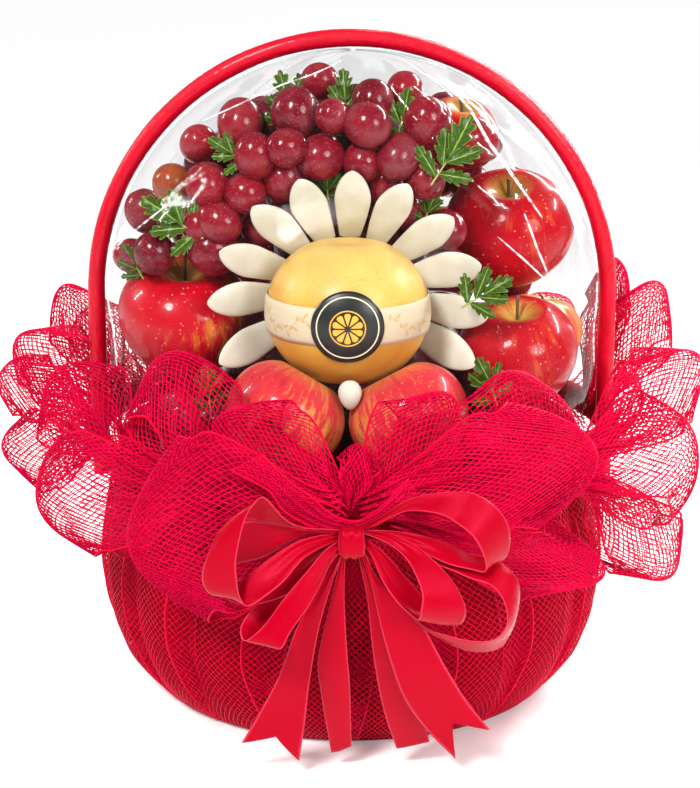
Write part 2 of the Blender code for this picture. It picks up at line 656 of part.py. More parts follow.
# foot, tip, axis across the ribbon, gap between the layers, width, slide: the loops of the ruff in millimetres
RUFF_LOOPS = (
    # left side, from the top down
    ((-174, 60, 194), (-212, 62, 276), (-0.65, -0.57, -0.50), 30, 47, 0),
    ((-180, 24, 192), (-238, 12, 250), (-0.52, 0.12, -0.84), 34, 61, 8),
    ((-183, -12, 190), (-252, -5, 229), (-0.30, -0.49, -0.82), 28, 44, -6),
    ((-176, -54, 188), (-244, -50, 179), (0.12, 0.00, -0.99), 34, 56, 10),
    ((-152, -104, 187), (-203, -85, 248), (-0.54, -0.53, -0.65), 34, 57, 6),
    ((-100, -155, 186), (-211, -125, 170), (0.14, 0.08, -0.99), 44, 87, 16),
    ((-88, -162, 187), (-124, -140, 272), (-0.86, -0.36, -0.35), 36, 63, 8),
    # front, behind the bow
    ((-8, -190, 182), (-143, -200, 166), (0.08, 0.00, -1.00), 40, 120, 14),
    ((-2, -188, 184), (-86, -178, 242), (-0.55, -0.46, -0.70), 34, 54, 6),
    ((-1, -190, 184), (6, -196, 228), (-0.99, 0.04, 0.15), 14, 21, 0),
    ((8, -188, 183), (64, -176, 253), (-0.76, 0.40, 0.51), 32, 54, -6),
    ((6, -190, 184), (156, -194, 225), (-0.29, -0.01, 0.96), 38, 79, -12),
    ((92, -160, 190), (117, -146, 261), (-0.89, 0.34, 0.29), 32, 68, -6),
    ((28, -188, 176), (164, -174, 133), (0.19, 0.00, 0.98), 26, 45, 6),
    # right side, from the top down
    ((176, 60, 194), (196, 62, 297), (-0.89, 0.40, 0.21), 22, 30, 0),
    ((180, 30, 192), (223, 30, 283), (-0.82, 0.45, 0.37), 30, 48, -6),
    ((160, -92, 190), (236, -75, 256), (-0.52, -0.04, 0.85), 36, 63, -8),
    ((140, -122, 184), (236, -98, 196), (-0.19, 0.49, 0.85), 40, 75, -10),
    ((163, -102, 178), (220, -77, 98), (0.57, -0.03, 0.82), 28, 58, -8),
    # back
    ((-158, 98, 190), (-206, 126, 240), (-0.40, -0.65, -0.30), 34, 58, 8),
    ((-136, 126, 184), (-190, 164, 160), (-0.50, 0.10, -0.90), 36, 72, -8),
    ((-84, 164, 190), (-104, 196, 250), (-0.90, -0.30, 0.10), 36, 66, 8),
    ((-30, 182, 184), (-46, 236, 170), (-0.80, -0.20, 0.55), 40, 84, -8),
    ((30, 182, 190), (36, 206, 254), (-1.00, 0.10, 0.10), 36, 66, 8),
    ((84, 164, 184), (116, 212, 162), (0.80, -0.40, 0.55), 40, 82, -8),
    ((130, 130, 190), (162, 158, 248), (0.70, -0.65, 0.10), 36, 62, 8),
    ((160, 92, 184), (220, 110, 168), (0.30, -0.30, 0.90), 36, 70, -8),
)


def loops_of(name, rows, sheet, spare=0.0, **more):
    """The loops of a table; spare makes each band wider, to cut a clearance."""
    made = []
    for foot, tip, axis, opening, width, slide, *flare in rows:
        foot, tip = Vector(foot) / 1000, Vector(tip) / 1000
        size = (opening / 1000, width / 1000 + spare, sheet + spare, slide / 1000, *flare)
        made.append(ribbon_loop(name, foot, tip, axis, *size, **{"columns": 3 if tip.y > 0.08 or width < 60 else 4, **more}))
    return made


def make_ruff():
    """The loops and the gathered cord at their feet, cut clear of the film and the handle."""
    sides, around = 5, 26
    tall, deep = 0.0110, 0.0095
    points = []
    for i in range(around):
        turn = math.tau * i / around
        for k in range(sides):
            a = math.tau * k / sides
            r = RUFF_RADIUS + deep * math.cos(a)
            points.append((r * math.cos(turn), r * math.sin(turn), RUFF_HEIGHT + tall * math.sin(a)))
    faces = grid_faces(around, sides, closed_rows=True, closed_columns=True)
    ruff = mesh_object("ruff", points, faces, material("crimson_mesh", CRIMSON_MESH, 0.5))
    applied_boolean(ruff, loops_of("loop", RUFF_LOOPS, MESH_SHEET), "UNION")
    heights = [FILM_FOOT - 0.012] + [DOME_CENTRE + (DOME_TALL + GAP) * math.sin(math.pi / 2 * k / 5) for k in range(5)]
    profile = [(0.0, DOME_CENTRE + DOME_TALL + GAP)]
    profile += [(dome_point(0, min(z, DOME_CENTRE + DOME_TALL), -0.0022).x, z) for z in reversed(heights)]
    profile.append((0.0, heights[0]))
    cover = turned_solid("film_nest", profile, 26)
    nest = make_handle("handle_nest", HANDLE_TUBE + 2 * GAP, foot=HANDLE_FOOT - GAP)
    applied_boolean(ruff, [cover, nest] + bow_pieces(2 * GAP), "DIFFERENCE")
    return keep_largest_body(ruff)


# ---- satin bow --------------------------------------------------------------------------------
BOW_LOOPS = (
    ((-5, -223, 170), (-82, -250, 169), (0.30, -0.90, 0.20), 64, 25, 0, -0.35),
    ((-4, -222, 166), (-62, -244, 113), (0.50, -0.80, 0.30), 21, 25, 0, -0.20),
    ((5, -223, 172), (89, -250, 183), (-0.30, -0.90, 0.20), 46, 27, 0, -0.30),
    ((3, -222, 166), (60, -250, 129), (-0.50, -0.80, 0.20), 28, 27, 0, -0.20),
    ((4, -221, 168), (98, -238, 122), (-0.20, -0.90, 0.20), 50, 24, 0, -0.15),
)


def satin_strip(name, path, wides, sheet, notch=0.0):
    """An open strip of ribbon along a path of points, facing -Y, with a V cut in its end if notch is set."""
    path = [Vector(p) / 1000 for p in path]
    points = []
    for i, point in enumerate(path):
        before, after = path[max(i - 1, 0)], path[min(i + 1, len(path) - 1)]
        along = (after - before).normalized()
        side = along.cross(Vector((0, 1, 0))).normalized()
        face = side.cross(along).normalized()
        half = wides[i] / 2000
        for layer in (-0.5, 0.5):
            for edge in (-1, 0, 1):
                end = along * notch * abs(edge) if i == len(path) - 1 else Vector()
                points.append(point + side * half * edge + face * layer * sheet + end)
    faces = []
    for i in range(len(path) - 1):
        a, b = 6 * i, 6 * (i + 1)
        for j, k in ((0, 1), (1, 2), (2, 5), (5, 4), (4, 3), (3, 0)):
            faces.append((a + j, a + k, b + k, b + j))
    for first in (0, 6 * (len(path) - 1)):
        faces += [(first, first + 1, first + 4, first + 3), (first + 1, first + 2, first + 5, first + 4)]
    return mesh_object(name, points, faces)


TAILS = (
    (((-4, -222, 164), (-17, -217, 134), (-33, -209, 99), (-43, -201, 70), (-52, -193, 43)), (8, 16, 21, 27, 38), 0.012),
    (((4, -222, 164), (20, -217, 134), (41, -209, 99), (62, -201, 68), (81, -192, 43)), (8, 20, 33, 32, 31), 0.014),
)
STRAPS = (
    (((-3, -217, 158), (-8, -206, 131), (-11, -196, 98), (-10, -188, 64), (-6, -174, 24)), (8, 15, 21, 20, 18), 0.0),
    (((2, -217, 158), (14, -206, 131), (27, -196, 98), (36, -187, 64), (40, -172, 24)), (8, 15, 21, 22, 20), 0.0),
)


def bow_knot(spare=0.0):
    half = Vector((0.0080, 0.0068, 0.0100)) + Vector((1, 1, 1)) * spare
    corners = [Vector((x * half.x, y * half.y, z * half.z)) for x in (-1, 1) for y in (-1, 1) for z in (-1, 1)]
    faces = [(0, 1, 3, 2), (4, 5, 7, 6), (0, 1, 5, 4), (2, 3, 7, 6), (0, 2, 6, 4), (1, 3, 7, 5)]
    return mesh_object("bow", [KNOT_AT + c for c in corners], faces)


def bow_pieces(spare=0.0):
    pieces = [bow_knot(spare)] + loops_of("satin_loop", BOW_LOOPS, SATIN_SHEET, spare, steps=9, start=0.5, columns=2, gather=0.5, curl=0.0)
    for path, wides, notch in TAILS + STRAPS:
        pieces.append(satin_strip("tail", path, [w + 1000 * spare for w in wides], SATIN_SHEET + spare, notch))
    return pieces


def make_bow():
    knot, *pieces = bow_pieces()
    knot.data.materials.append(material("rose_satin", SATIN_ROSE, 0.35))
    return applied_boolean(knot, pieces, "UNION")


# ---- build ------------------------------------------------------------------------------------
def main():
    clear_scene()
    make_basket()
    make_handle("handle", HANDLE_TUBE, finish=material("handle_red", HANDLE_RED, 0.35))
    make_film()
    apple_skin = material("apple_skin", APPLE_RED, 0.3)
    for name in APPLES:
        apple_solid(name, finish=apple_skin)
    pear_solid("pear", finish=material("pear_skin", PEAR_GOLD, 0.5))
    make_band()
    make_label()
    cream = material("petal_cream", PETAL_CREAM, 0.4)
    for number, angle in enumerate(PETAL_ANGLES):
        petal_solid(f"petal_{number:02d}", math.radians(angle), finish=cream)
    tooth_solid("petal_tip_low", finish=cream)
    leaf = material("leaf_green", LEAF_GREEN, 0.45)
    for number, (foot, pointing, length) in enumerate(SPRIGS):
        sprig_solid(f"sprig_{number:02d}", foot, pointing, length, finish=leaf)
    make_heap()
    make_ruff()
    make_bow()


main()
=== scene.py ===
"""A fruit gift basket: a net-wrapped basket heaped with fruit under clear film, with a hoop handle,
a ruff of net ribbon loops round its rim and a satin bow in front.

Metres, +Z up. The origin is the centre of the base, the front faces -Y and the handle spans X.
"""

import math
import random

import bmesh
import bpy
import numpy as np
from mathutils import Matrix, Vector


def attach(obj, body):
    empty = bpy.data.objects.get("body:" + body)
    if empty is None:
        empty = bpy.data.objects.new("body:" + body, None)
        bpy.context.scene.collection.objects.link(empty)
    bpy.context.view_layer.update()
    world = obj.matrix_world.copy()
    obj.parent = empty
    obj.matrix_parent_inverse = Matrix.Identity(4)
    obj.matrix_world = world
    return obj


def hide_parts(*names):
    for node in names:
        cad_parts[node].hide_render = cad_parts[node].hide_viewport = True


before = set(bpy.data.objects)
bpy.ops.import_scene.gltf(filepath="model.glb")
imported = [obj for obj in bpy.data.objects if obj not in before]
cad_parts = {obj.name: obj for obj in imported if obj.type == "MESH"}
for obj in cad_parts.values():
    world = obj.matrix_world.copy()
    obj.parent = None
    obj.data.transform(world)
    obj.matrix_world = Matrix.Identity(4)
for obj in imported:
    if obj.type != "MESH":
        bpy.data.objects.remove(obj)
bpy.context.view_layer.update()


# ---- Camera ------------------------------------------------------------------------------------------------
# A long lens, a little above the basket and straight in front of it.
CAMERA_TILT = math.radians(15)
CAMERA_AWAY = 1.6
CAMERA_AIM = Vector((0, 0, 0.235))
SLIDE_RIGHT, SLIDE_UP = -0.00144, -0.0254       # these centre the basket in view
SENSOR, FOCAL = 36.0, 101.79


def added(name, data):
    """A new object in the scene."""
    made = bpy.data.objects.new(name, data)
    bpy.context.scene.collection.objects.link(made)
    return made


camera_right = Vector((1, 0, 0))
camera_up = Vector((0, math.sin(CAMERA_TILT), math.cos(CAMERA_TILT)))
camera_back = camera_right.cross(camera_up)
camera_at = CAMERA_AIM + camera_back * CAMERA_AWAY + camera_right * SLIDE_RIGHT + camera_up * SLIDE_UP
camera = added("camera", bpy.data.cameras.new("camera"))
camera.data.sensor_width, camera.data.lens = SENSOR, FOCAL
camera_turn = Matrix((camera_right, camera_up, camera_back)).transposed().to_4x4()
camera.matrix_world = Matrix.Translation(camera_at) @ camera_turn
bpy.context.scene.camera = camera


# ---- Floor and light ---------------------------------------------------------------------------------------
# A plain pale floor in a dim white room, a soft key light and a fill light from above and in front,
# two lamps that sparkle on the fruit and three narrow ones that run down the film.
def shader_of(name, colour, roughness=0.5, **sockets):
    """A new material with its Principled shader set; returns both and the node tree."""
    material = bpy.data.materials.new(name)
    material.use_nodes = True
    shader = material.node_tree.nodes["Principled BSDF"]
    shader.inputs["Base Color"].default_value = (*colour, 1)
    shader.inputs["Roughness"].default_value = roughness
    for socket, value in sockets.items():
        shader.inputs[socket.replace("_", " ")].default_value = value
    return material, shader, material.node_tree


def node(tree, kind, **settings):
    """A node of that kind; what in_ names, by number or name, is set or linked from a socket."""
    made = tree.nodes.new("ShaderNode" + kind)
    for key, value in settings.items():
        if not key.startswith("in_"):
            setattr(made, key, value)
            continue
        socket = made.inputs[int(key[3:]) if key[3:].isdigit() else key[3:].replace("_", " ")]
        if isinstance(value, bpy.types.NodeSocket):
            tree.links.new(value, socket)
        else:
            socket.default_value = value
    return made


def ramp(tree, source, *stops):
    """A colour ramp over (position, colour) stops, where a plain number is a grey."""
    made = node(tree, "ValToRGB", in_0=source)
    while len(made.color_ramp.elements) < len(stops):
        made.color_ramp.elements.new(0.5)
    for element, (place, colour) in zip(made.color_ramp.elements, stops):
        element.position = place
        element.color = (*colour, 1) if isinstance(colour, tuple) else (colour, colour, colour, 1)
    return made.outputs[0]


def mixed(tree, share, first, second):
    """A colour that goes from first to second; each is a colour or a socket."""
    first, second = (c if isinstance(c, bpy.types.NodeSocket) else (*c, 1) for c in (first, second))
    return node(tree, "Mix", data_type="RGBA", in_0=share, in_6=first, in_7=second).outputs[2]


def bumped(tree, shader, height, distance, strength=1.0):
    """Feeds a height into the normal of a shader."""
    made = node(tree, "Bump", in_Strength=strength, in_Distance=distance, in_Height=height)
    tree.links.new(made.outputs[0], shader.inputs["Normal"])


def grained(name, colour, roughness, scale, *stops, detail=2.0, bump=0.0, **sockets):
    """A material whose colour follows a fine noise over the stops, and so does its bump if it has one."""
    material, shader, tree = shader_of(name, colour, roughness, **sockets)
    grain = node(tree, "TexNoise", in_Scale=scale, in_Detail=detail).outputs[0]
    tree.links.new(ramp(tree, grain, *stops), shader.inputs["Base Color"])
    if bump:
        bumped(tree, shader, grain, bump)
    return material


def new_mesh(name, points, faces, *materials, smooth=True):
    """A mesh object in the scene, made of plain lists of points and faces."""
    mesh = bpy.data.meshes.new(name)
    mesh.from_pydata([tuple(p) for p in points], [], [tuple(f) for f in faces])
    mesh.update()
    if smooth:
        mesh.shade_smooth()
    for material in materials:
        mesh.materials.append(material)
    return added(name, mesh)


FLOOR_REACH, FLOOR_DROP = 12.0, 0.0002
floor_paper = grained(
    "floor_paper", (0.93, 0.93, 0.935), 0.6, 6.0, (0.3, (0.92, 0.92, 0.925)), (0.7, (0.94, 0.94, 0.945)),
    Emission_Color=(1, 1, 1, 1), Emission_Strength=0.16,
)
corners = [(x * FLOOR_REACH, y * FLOOR_REACH, -FLOOR_DROP) for x, y in ((-1, -1), (1, -1), (1, 1), (-1, 1))]
floor = new_mesh("floor", corners, [(0, 1, 2, 3)], floor_paper)

room = bpy.data.worlds.new("white_room")
room.use_nodes = True
room.node_tree.nodes["Background"].inputs[0].default_value = (1.0, 1.0, 1.0, 1)
room.node_tree.nodes["Background"].inputs[1].default_value = 0.22
bpy.context.scene.world = room
bpy.context.scene.view_settings.view_transform = "Standard"

# name, where it comes from, how wide it looks in degrees, strength
SUNS = (("key_light", (-0.45, -0.9, 0.95), 14, 2.5), ("fill_light", (0.8, -1.0, 0.55), 26, 1.7))
for name, source, wide, strength in SUNS:
    light = added(name, bpy.data.lights.new(name, "SUN"))
    light.data.energy, light.data.angle = strength, math.radians(wide)
    light.matrix_world = Vector(source).to_track_quat("Z", "Y").to_matrix().to_4x4()

# name, where it stands, where it points, width and height, watts
LAMPS = (
    ("left_lamp", (-0.75, -1.5, 1.5), (0, 0, 0.28), (0.22, 0.22), 11),
    ("streak_lamp", (0.75, 0.58, 0.95), (0.09, -0.08, 0.40), (1.3, 0.035), 22),
    ("side_streak_lamp", (0.80, 0.95, 0.60), (0.12, -0.03, 0.38), (0.03, 0.7), 10),
    ("left_streak_lamp", (-1.16, 0.23, 0.88), (-0.117, -0.093, 0.365), (0.04, 0.35), 6),
    ("right_lamp", (1.1, -1.5, 0.9), (0, 0, 0.28), (0.16, 0.4), 4),
)
for name, place, aim, (wide, tall), watts in LAMPS:
    lamp = added(name, bpy.data.lights.new(name, "AREA"))
    lamp.data.shape = "RECTANGLE"
    lamp.data.size, lamp.data.size_y, lamp.data.energy = wide, tall, watts
    pointing = (Vector(aim) - Vector(place)).to_track_quat("-Z", "Y")
    lamp.matrix_world = Matrix.Translation(place) @ pointing.to_matrix().to_4x4()


# ---- Basket wall -------------------------------------------------------------------------------------------
# A low round basket. Its wall is covered by dark crimson cloth, drawn tight and tucked under the
# base, with a flat filled top that the fruit stands on.

# height and radius, from the rim down
WALL = ((0.187, 0.1650), (0.165, 0.1690), (0.142, 0.1725), (0.118, 0.1762), (0.092, 0.1780), (0.060, 0.1745),
        (0.030, 0.1640), (0.0105, 0.1520), (0.0, 0.1400))
WALL_HEIGHTS, WALL_RADII = ([row[column] for row in reversed(WALL)] for column in (0, 1))
RIM = WALL[0][0]
FILL_HEIGHT = 0.1815
PLEATS = 18
FOLD_DEPTH = 0.0034                     # half of how far the folds of the wall go in and out
LINER_IN = 0.0024                       # the cloth lies this far inside the net
WALL_STEPS, WALL_SIDES = 22, 288
SOFTENED = ((-0.006, 0.25), (0, 0.5), (0.006, 0.25))    # heights away and shares that round the profile


def fold_lift(angle, height):
    """Round folds with sharp valleys, which fade at the rim and at the base."""
    hump = abs(math.cos(PLEATS / 2 * (angle + math.pi / 2 - math.pi / PLEATS) + 0.25 * math.sin(3 * angle))) ** 0.6
    at_base, at_rim = min(1.0, max(0.0, (height - 0.003) / 0.03)), min(1.0, max(0.2, (0.190 - height) / 0.03))
    return FOLD_DEPTH * (2 * hump - 1) * at_base * at_rim


def wall_radius(height):
    """The wall's radius at a height, smoothly between the named ones."""
    return sum(float(np.interp(height + away, WALL_HEIGHTS, WALL_RADII)) * share for away, share in SOFTENED)


def grid_quads(rows, columns, wrap=False, first=0):
    """Quads over points that are numbered row by row; wrap joins the last column to the first."""
    return [
        (first + i * columns + j, first + i * columns + (j + 1) % columns,
         first + (i + 1) * columns + (j + 1) % columns, first + (i + 1) * columns + j)
        for i in range(rows - 1)
        for j in range(columns if wrap else columns - 1)
    ]


def turned(name, section, sides, material, shape=None):
    """A body turned about Z from (radius, height) points, closed at both ends; shape moves a point."""
    points = []
    for radius, height in section:
        for k in range(sides):
            angle = math.tau * k / sides
            at = (radius * math.cos(angle), radius * math.sin(angle), height)
            points.append(shape(angle, *at) if shape else at)
    faces = grid_quads(len(section), sides, wrap=True)
    for ring, end in ((0, section[0][1]), (len(section) - 1, section[-1][1])):
        points.append((0, 0, end))
        for k in range(sides):
            pair = (ring * sides + k, ring * sides + (k + 1) % sides)
            faces.append((len(points) - 1, *(pair if ring else pair[::-1])))
    made = new_mesh(name, points, faces, material)
    form = bmesh.new()
    form.from_mesh(made.data)
    bmesh.ops.recalc_face_normals(form, faces=form.faces)
    form.to_mesh(made.data)
    form.free()
    return made


def fitted(piece, stands_for=None):
    """Gives a piece its body, and hides the node that it stands for if there is one."""
    if stands_for:
        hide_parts(stands_for)
    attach(piece, "root")


def folded(angle, x, y, z):
    """Moves a point of the wall's side in and out with the folds."""
    out = math.hypot(x, y)
    grow = 1 + (fold_lift(angle, z) / out if out > 0.139 and z < 0.1855 else 0)
    return (x * grow, y * grow, z)


crimson_cloth = grained(
    "crimson_cloth", (0.30, 0.0003, 0.006), 0.8, 900.0, (0.35, (0.17, 0.0002, 0.004)), (0.68, (0.36, 0.0008, 0.012)),
    detail=3.0, bump=0.0004, Specular_IOR_Level=0.03,
)
wall_section = [(0.147, FILL_HEIGHT), (0.156, 0.186)]
for k in range(WALL_STEPS + 1):
    height = RIM * (1 - k / WALL_STEPS)
    wall_section.append((wall_radius(height) - LINER_IN, max(height, FLOOR_DROP)))
wall_section.append((0.06, FLOOR_DROP))
basket_wall = turned("basket_wall", wall_section, WALL_SIDES, crimson_cloth, folded)
fitted(basket_wall, "basket")


# ---- Net over the wall -------------------------------------------------------------------------------------
# Broad strips of open crimson net, stood side by side round the wall. Each laps over the next one
# and bellies out a little, and its rolled hems curve in towards the base.
CELL, BACK_CELL = 0.0028, 0.0039        # half a diamond of the net, in front and, wider, at the back
THREAD, WALL_THREAD, HEM = 0.00053, 0.00043, 0.0008     # half the thickness of each
THREAD_SIDES, HEM_SIDES = 3, 5
WANDER = 0.16                           # how far a crossing strays, as a share of a cell
TUBE_END = 0.05                         # a tube runs out to a point, so that its ends are closed


def net_material(name, thread_colour, painted_glint):
    """Shiny plastic thread: the colour varies along it, with small pale spots painted in as highlights."""
    dark = tuple(c * 0.72 for c in thread_colour)
    # The last, pale stop is a painted highlight on the thread.
    stops = ((0.30, dark), (0.52, thread_colour), (0.70, thread_colour), (0.78, painted_glint))
    return grained(name, thread_colour, 0.42, 420.0, *stops, detail=1.0, Specular_IOR_Level=0.05)


# The last colour of each net is its painted highlight.
net_thread = net_material("net_thread", (0.80, 0.0006, 0.058), (0.96, 0.08, 0.24))
net_hem = net_material("net_hem", (0.66, 0.0004, 0.032), (0.85, 0.02, 0.10))
wall_thread = net_material("wall_thread", (0.74, 0.0002, 0.036), (0.95, 0.04, 0.17))


def unit(vectors):
    """An array of vectors, each brought to length 1."""
    return vectors / np.maximum(np.linalg.norm(vectors, axis=2, keepdims=True), 1e-9)


def runs_of(grid, axis):
    """The lengths of a grid's lines of points along one axis."""
    return np.linalg.norm(np.diff(grid, axis=axis), axis=2).sum(axis=axis)


def tubes(lines, normals, radius, sides):
    """Thin tubes along lines of points, an array (lines, points, 3); returns points and quads."""
    along = np.gradient(lines, axis=1)
    across = unit(np.cross(normals, along))
    up = unit(np.cross(along, across))
    count, length = lines.shape[:2]
    turns = math.tau * (np.arange(sides) + 0.25) / sides
    thick = np.full(length, radius)
    thick[[0, -1]] *= TUBE_END
    sideways, upwards = np.cos(turns)[None, None, :, None], np.sin(turns)[None, None, :, None]
    rings = across[:, :, None, :] * sideways + up[:, :, None, :] * upwards
    rings = lines[:, :, None, :] + thick[None, :, None, None] * rings
    index = np.arange(count * length * sides).reshape(count, length, sides)
    a, b = index[:, :-1], index[:, 1:]
    quads = np.stack([a, np.roll(a, -1, axis=2), np.roll(b, -1, axis=2), b], axis=-1).reshape(-1, 4)
    return rings.reshape(-1, 3), quads


def resampled(points, count, axis):
    """A grid of points with another number of them along one axis."""
    place = np.linspace(0, points.shape[axis] - 1, count)
    low = np.minimum(place.astype(int), points.shape[axis] - 2)
    share = (place - low).reshape([-1 if k == axis else 1 for k in range(3)])
    return np.take(points, low, axis) * (1 - share) + np.take(points, low + 1, axis) * share


def net_piece(name, grid, materials, seed, cell=CELL, thread=THREAD, stands_for=None):
    """A strip of net over a fine grid of points, an array (along, across, 3), with tubes for hems."""
    rows = max(8, round(runs_of(grid, 0).max() / cell))
    columns = max(4, round(runs_of(grid, 1).max() / cell))
    net = resampled(resampled(grid, rows + 1, 0), columns + 1, 1)
    run, side = np.gradient(net, axis=0), np.gradient(net, axis=1)
    normals = unit(np.cross(run, side))
    wander = np.random.default_rng(seed).uniform(-WANDER, WANDER, (rows + 1, columns + 1, 2))
    wander[:, [0, -1], 1] = 0
    net = net + run * wander[:, :, :1] + side * wander[:, :, 1:]
    # Each thread zigzags between two columns and meets its neighbours at every turn.
    i, j = np.meshgrid(np.arange(rows + 1), np.arange(columns), indexing="xy")
    threads, edges = (i, j + (i + j) % 2), [0, columns]
    points, faces, finish, total = [], [], [], 0
    for lines, facing, radius, sides, which in (
        (net[threads], normals[threads], thread, THREAD_SIDES, 0),
        (net.transpose(1, 0, 2)[edges], normals.transpose(1, 0, 2)[edges], HEM, HEM_SIDES, 1),
    ):
        some_points, some_faces = tubes(lines, facing, radius, sides)
        points.append(some_points)
        faces.append(some_faces + total)
        finish.append(np.full(len(some_faces), which))
        total += len(some_points)
    made = new_mesh(name, np.concatenate(points).tolist(), np.concatenate(faces).tolist(), *materials)
    made.data.polygons.foreach_set("material_index", np.concatenate(finish).astype(np.int32))
    fitted(made, stands_for)
    flat_long, flat_wide = float(runs_of(grid, 0).mean()), float(runs_of(grid, 1).mean())
    # Being a net, it has less cloth than its outline.
    return made


PANEL_SPAN = 1.36                       # how many folds of the wall one strip covers
PANEL_ROWS, PANEL_COLUMNS = 44, 18
PANEL_TOP, PANEL_TALL = 0.180, 0.1785
PANEL_LOWEST = 0.0012
wall_draw = random.Random(11)
for panel in range(PLEATS):
    middle = math.tau * (panel + 0.5) / PLEATS - math.pi / 2
    half = math.pi * PANEL_SPAN / PLEATS * wall_draw.uniform(0.92, 1.12)
    # Strips left of the middle lap to the left, and those right of it to the right.
    way = 1 if math.cos(middle) > 0 else -1
    rows = []
    for i in range(PANEL_ROWS + 1):
        t = i / PANEL_ROWS
        height = PANEL_TOP - PANEL_TALL * t
        belly = math.sin(math.pi * min(1, t * 1.02)) ** 0.7
        taper = 0.62 + 0.38 * math.sin(math.pi * (0.15 + 0.75 * t))
        drawn = min(1.0, 1.4 * t)
        gathered = 0.50 * (1 - drawn * drawn * (3 - 2 * drawn))
        row = []
        for j in range(PANEL_COLUMNS + 1):
            e = 2 * j / PANEL_COLUMNS - 1
            angle = middle + e * half * taper
            # In front, the strips are drawn together towards the knot of the bow.
            aside = math.remainder(angle + math.pi / 2, math.tau)
            angle -= gathered * aside * math.exp(-((aside / 0.65) ** 2))
            lapped = 0.0030 * belly * (way * e > 0) * abs(e) ** 3
            proud = 0.0010 + 0.0020 * belly * (1 - abs(e) ** 1.6) + lapped
            radius = wall_radius(height) + fold_lift(angle, height) + proud - 0.0016
            row.append((radius * math.cos(angle), radius * math.sin(angle), max(height, PANEL_LOWEST)))
        rows.append(row)
    net_piece(
        f"wall_net_{panel:02d}", np.array(rows), (wall_thread, net_hem),
        100 + panel, cell=CELL if math.sin(middle) < 0.2 else BACK_CELL, thread=WALL_THREAD,
    )


# ---- Fruit: apples -----------------------------------------------------------------------------------------
# Fresh apples with a deep stem hollow, five soft lobes and a woody stalk. The skin is glossy, red
# with golden streaks running out of the hollow and fine pale flecks.
def streaked_skin(name, red, deep, gold, gold_share, seed, hollow_wide):
    """Apple skin. The streaks follow the angle round the apple's own Z axis."""
    material, shader, tree = shader_of(
        name, red, 0.30, Coat_Weight=0.28, Coat_Roughness=0.06, Specular_IOR_Level=0.10
    )

    def times(first, second, add=None):
        if add is None:
            return node(tree, "Math", operation="MULTIPLY", in_0=first, in_1=second).outputs[0]
        return node(tree, "Math", operation="MULTIPLY_ADD", in_0=first, in_1=second, in_2=add).outputs[0]

    place = node(tree, "TexCoord").outputs["Object"]
    apart = node(tree, "SeparateXYZ", in_0=place).outputs
    flat = node(tree, "CombineXYZ", in_0=apart[0], in_1=apart[1]).outputs[0]
    around = node(tree, "VectorMath", operation="NORMALIZE", in_0=flat).outputs[0]
    lifted = node(tree, "VectorMath", operation="MULTIPLY_ADD", in_0=place, in_1=(0, 0, 7.0), in_2=around)
    streaks = node(
        tree, "TexNoise", noise_dimensions="4D", in_Vector=lifted.outputs[0],
        in_Scale=9.0, in_Detail=6.0, in_Roughness=0.66, in_W=seed,
    ).outputs[0]
    patches = node(
        tree, "TexNoise", noise_dimensions="4D", in_Vector=place, in_Scale=17.0, in_Detail=1.0, in_W=seed + 3
    ).outputs[0]
    halfway = tuple(0.5 * (a + b) for a, b in zip(red, gold))
    skin = ramp(
        tree, times(patches, 0.42, times(streaks, 0.58)), (0.34, deep), (0.47, red), (0.60 - 0.12 * gold_share, red),
        (0.70 - 0.16 * gold_share, halfway), (0.82 - 0.16 * gold_share, gold),
    )
    # Gold runs out of the stem hollow, over the upper half.
    radius = node(tree, "VectorMath", operation="LENGTH", in_0=flat).outputs["Value"]
    hollow = node(tree, "MapRange", in_0=radius, in_1=0.004, in_2=hollow_wide, in_3=1.0, in_4=0.0).outputs[0]
    upper = node(tree, "Math", operation="GREATER_THAN", in_0=apart[2], in_1=0.0).outputs[0]
    uneven = node(tree, "MapRange", in_0=streaks, in_1=0.35, in_2=0.6, in_3=0.35, in_4=1.3).outputs[0]
    skin = mixed(tree, times(times(hollow, upper), uneven), skin, (0.62, 0.40, 0.07))
    flecks = node(tree, "TexVoronoi", in_Vector=place, in_Scale=330.0, in_Randomness=1.0).outputs["Distance"]
    scarce = node(tree, "TexNoise", in_Vector=place, in_Scale=210.0).outputs[0]
    kept = times(ramp(tree, flecks, (0.11, 1), (0.19, 0)), ramp(tree, scarce, (0.49, 0), (0.56, 0.9)))
    tree.links.new(mixed(tree, kept, skin, (0.90, 0.46, 0.32)), shader.inputs["Base Color"])
    bumped(tree, shader, patches, 0.0012, 0.25)
    return material


# name, red, deep red, gold, how much of it is gold, seed, how far the gold runs out of the hollow
APPLE_REDS = {name: streaked_skin("apple_skin_" + name, *looks) for name, *looks in (
    ("ruby", (0.46, 0.0010, 0.010), (0.26, 0.0004, 0.006), (0.72, 0.13, 0.012), 0.30, 1.0, 0.019),
    ("blush", (0.52, 0.0015, 0.012), (0.32, 0.0006, 0.008), (0.76, 0.30, 0.03), 0.38, 5.0, 0.019),
    ("amber", (0.64, 0.034, 0.044), (0.47, 0.010, 0.026), (0.86, 0.44, 0.09), 0.72, 9.0, 0.034),
)}
stalk_wood = grained(
    "stalk_wood", (0.16, 0.075, 0.03), 0.7, 700.0, (0.35, (0.09, 0.04, 0.018)), (0.7, (0.26, 0.15, 0.05)),
    detail=3.0, bump=0.0004,
)

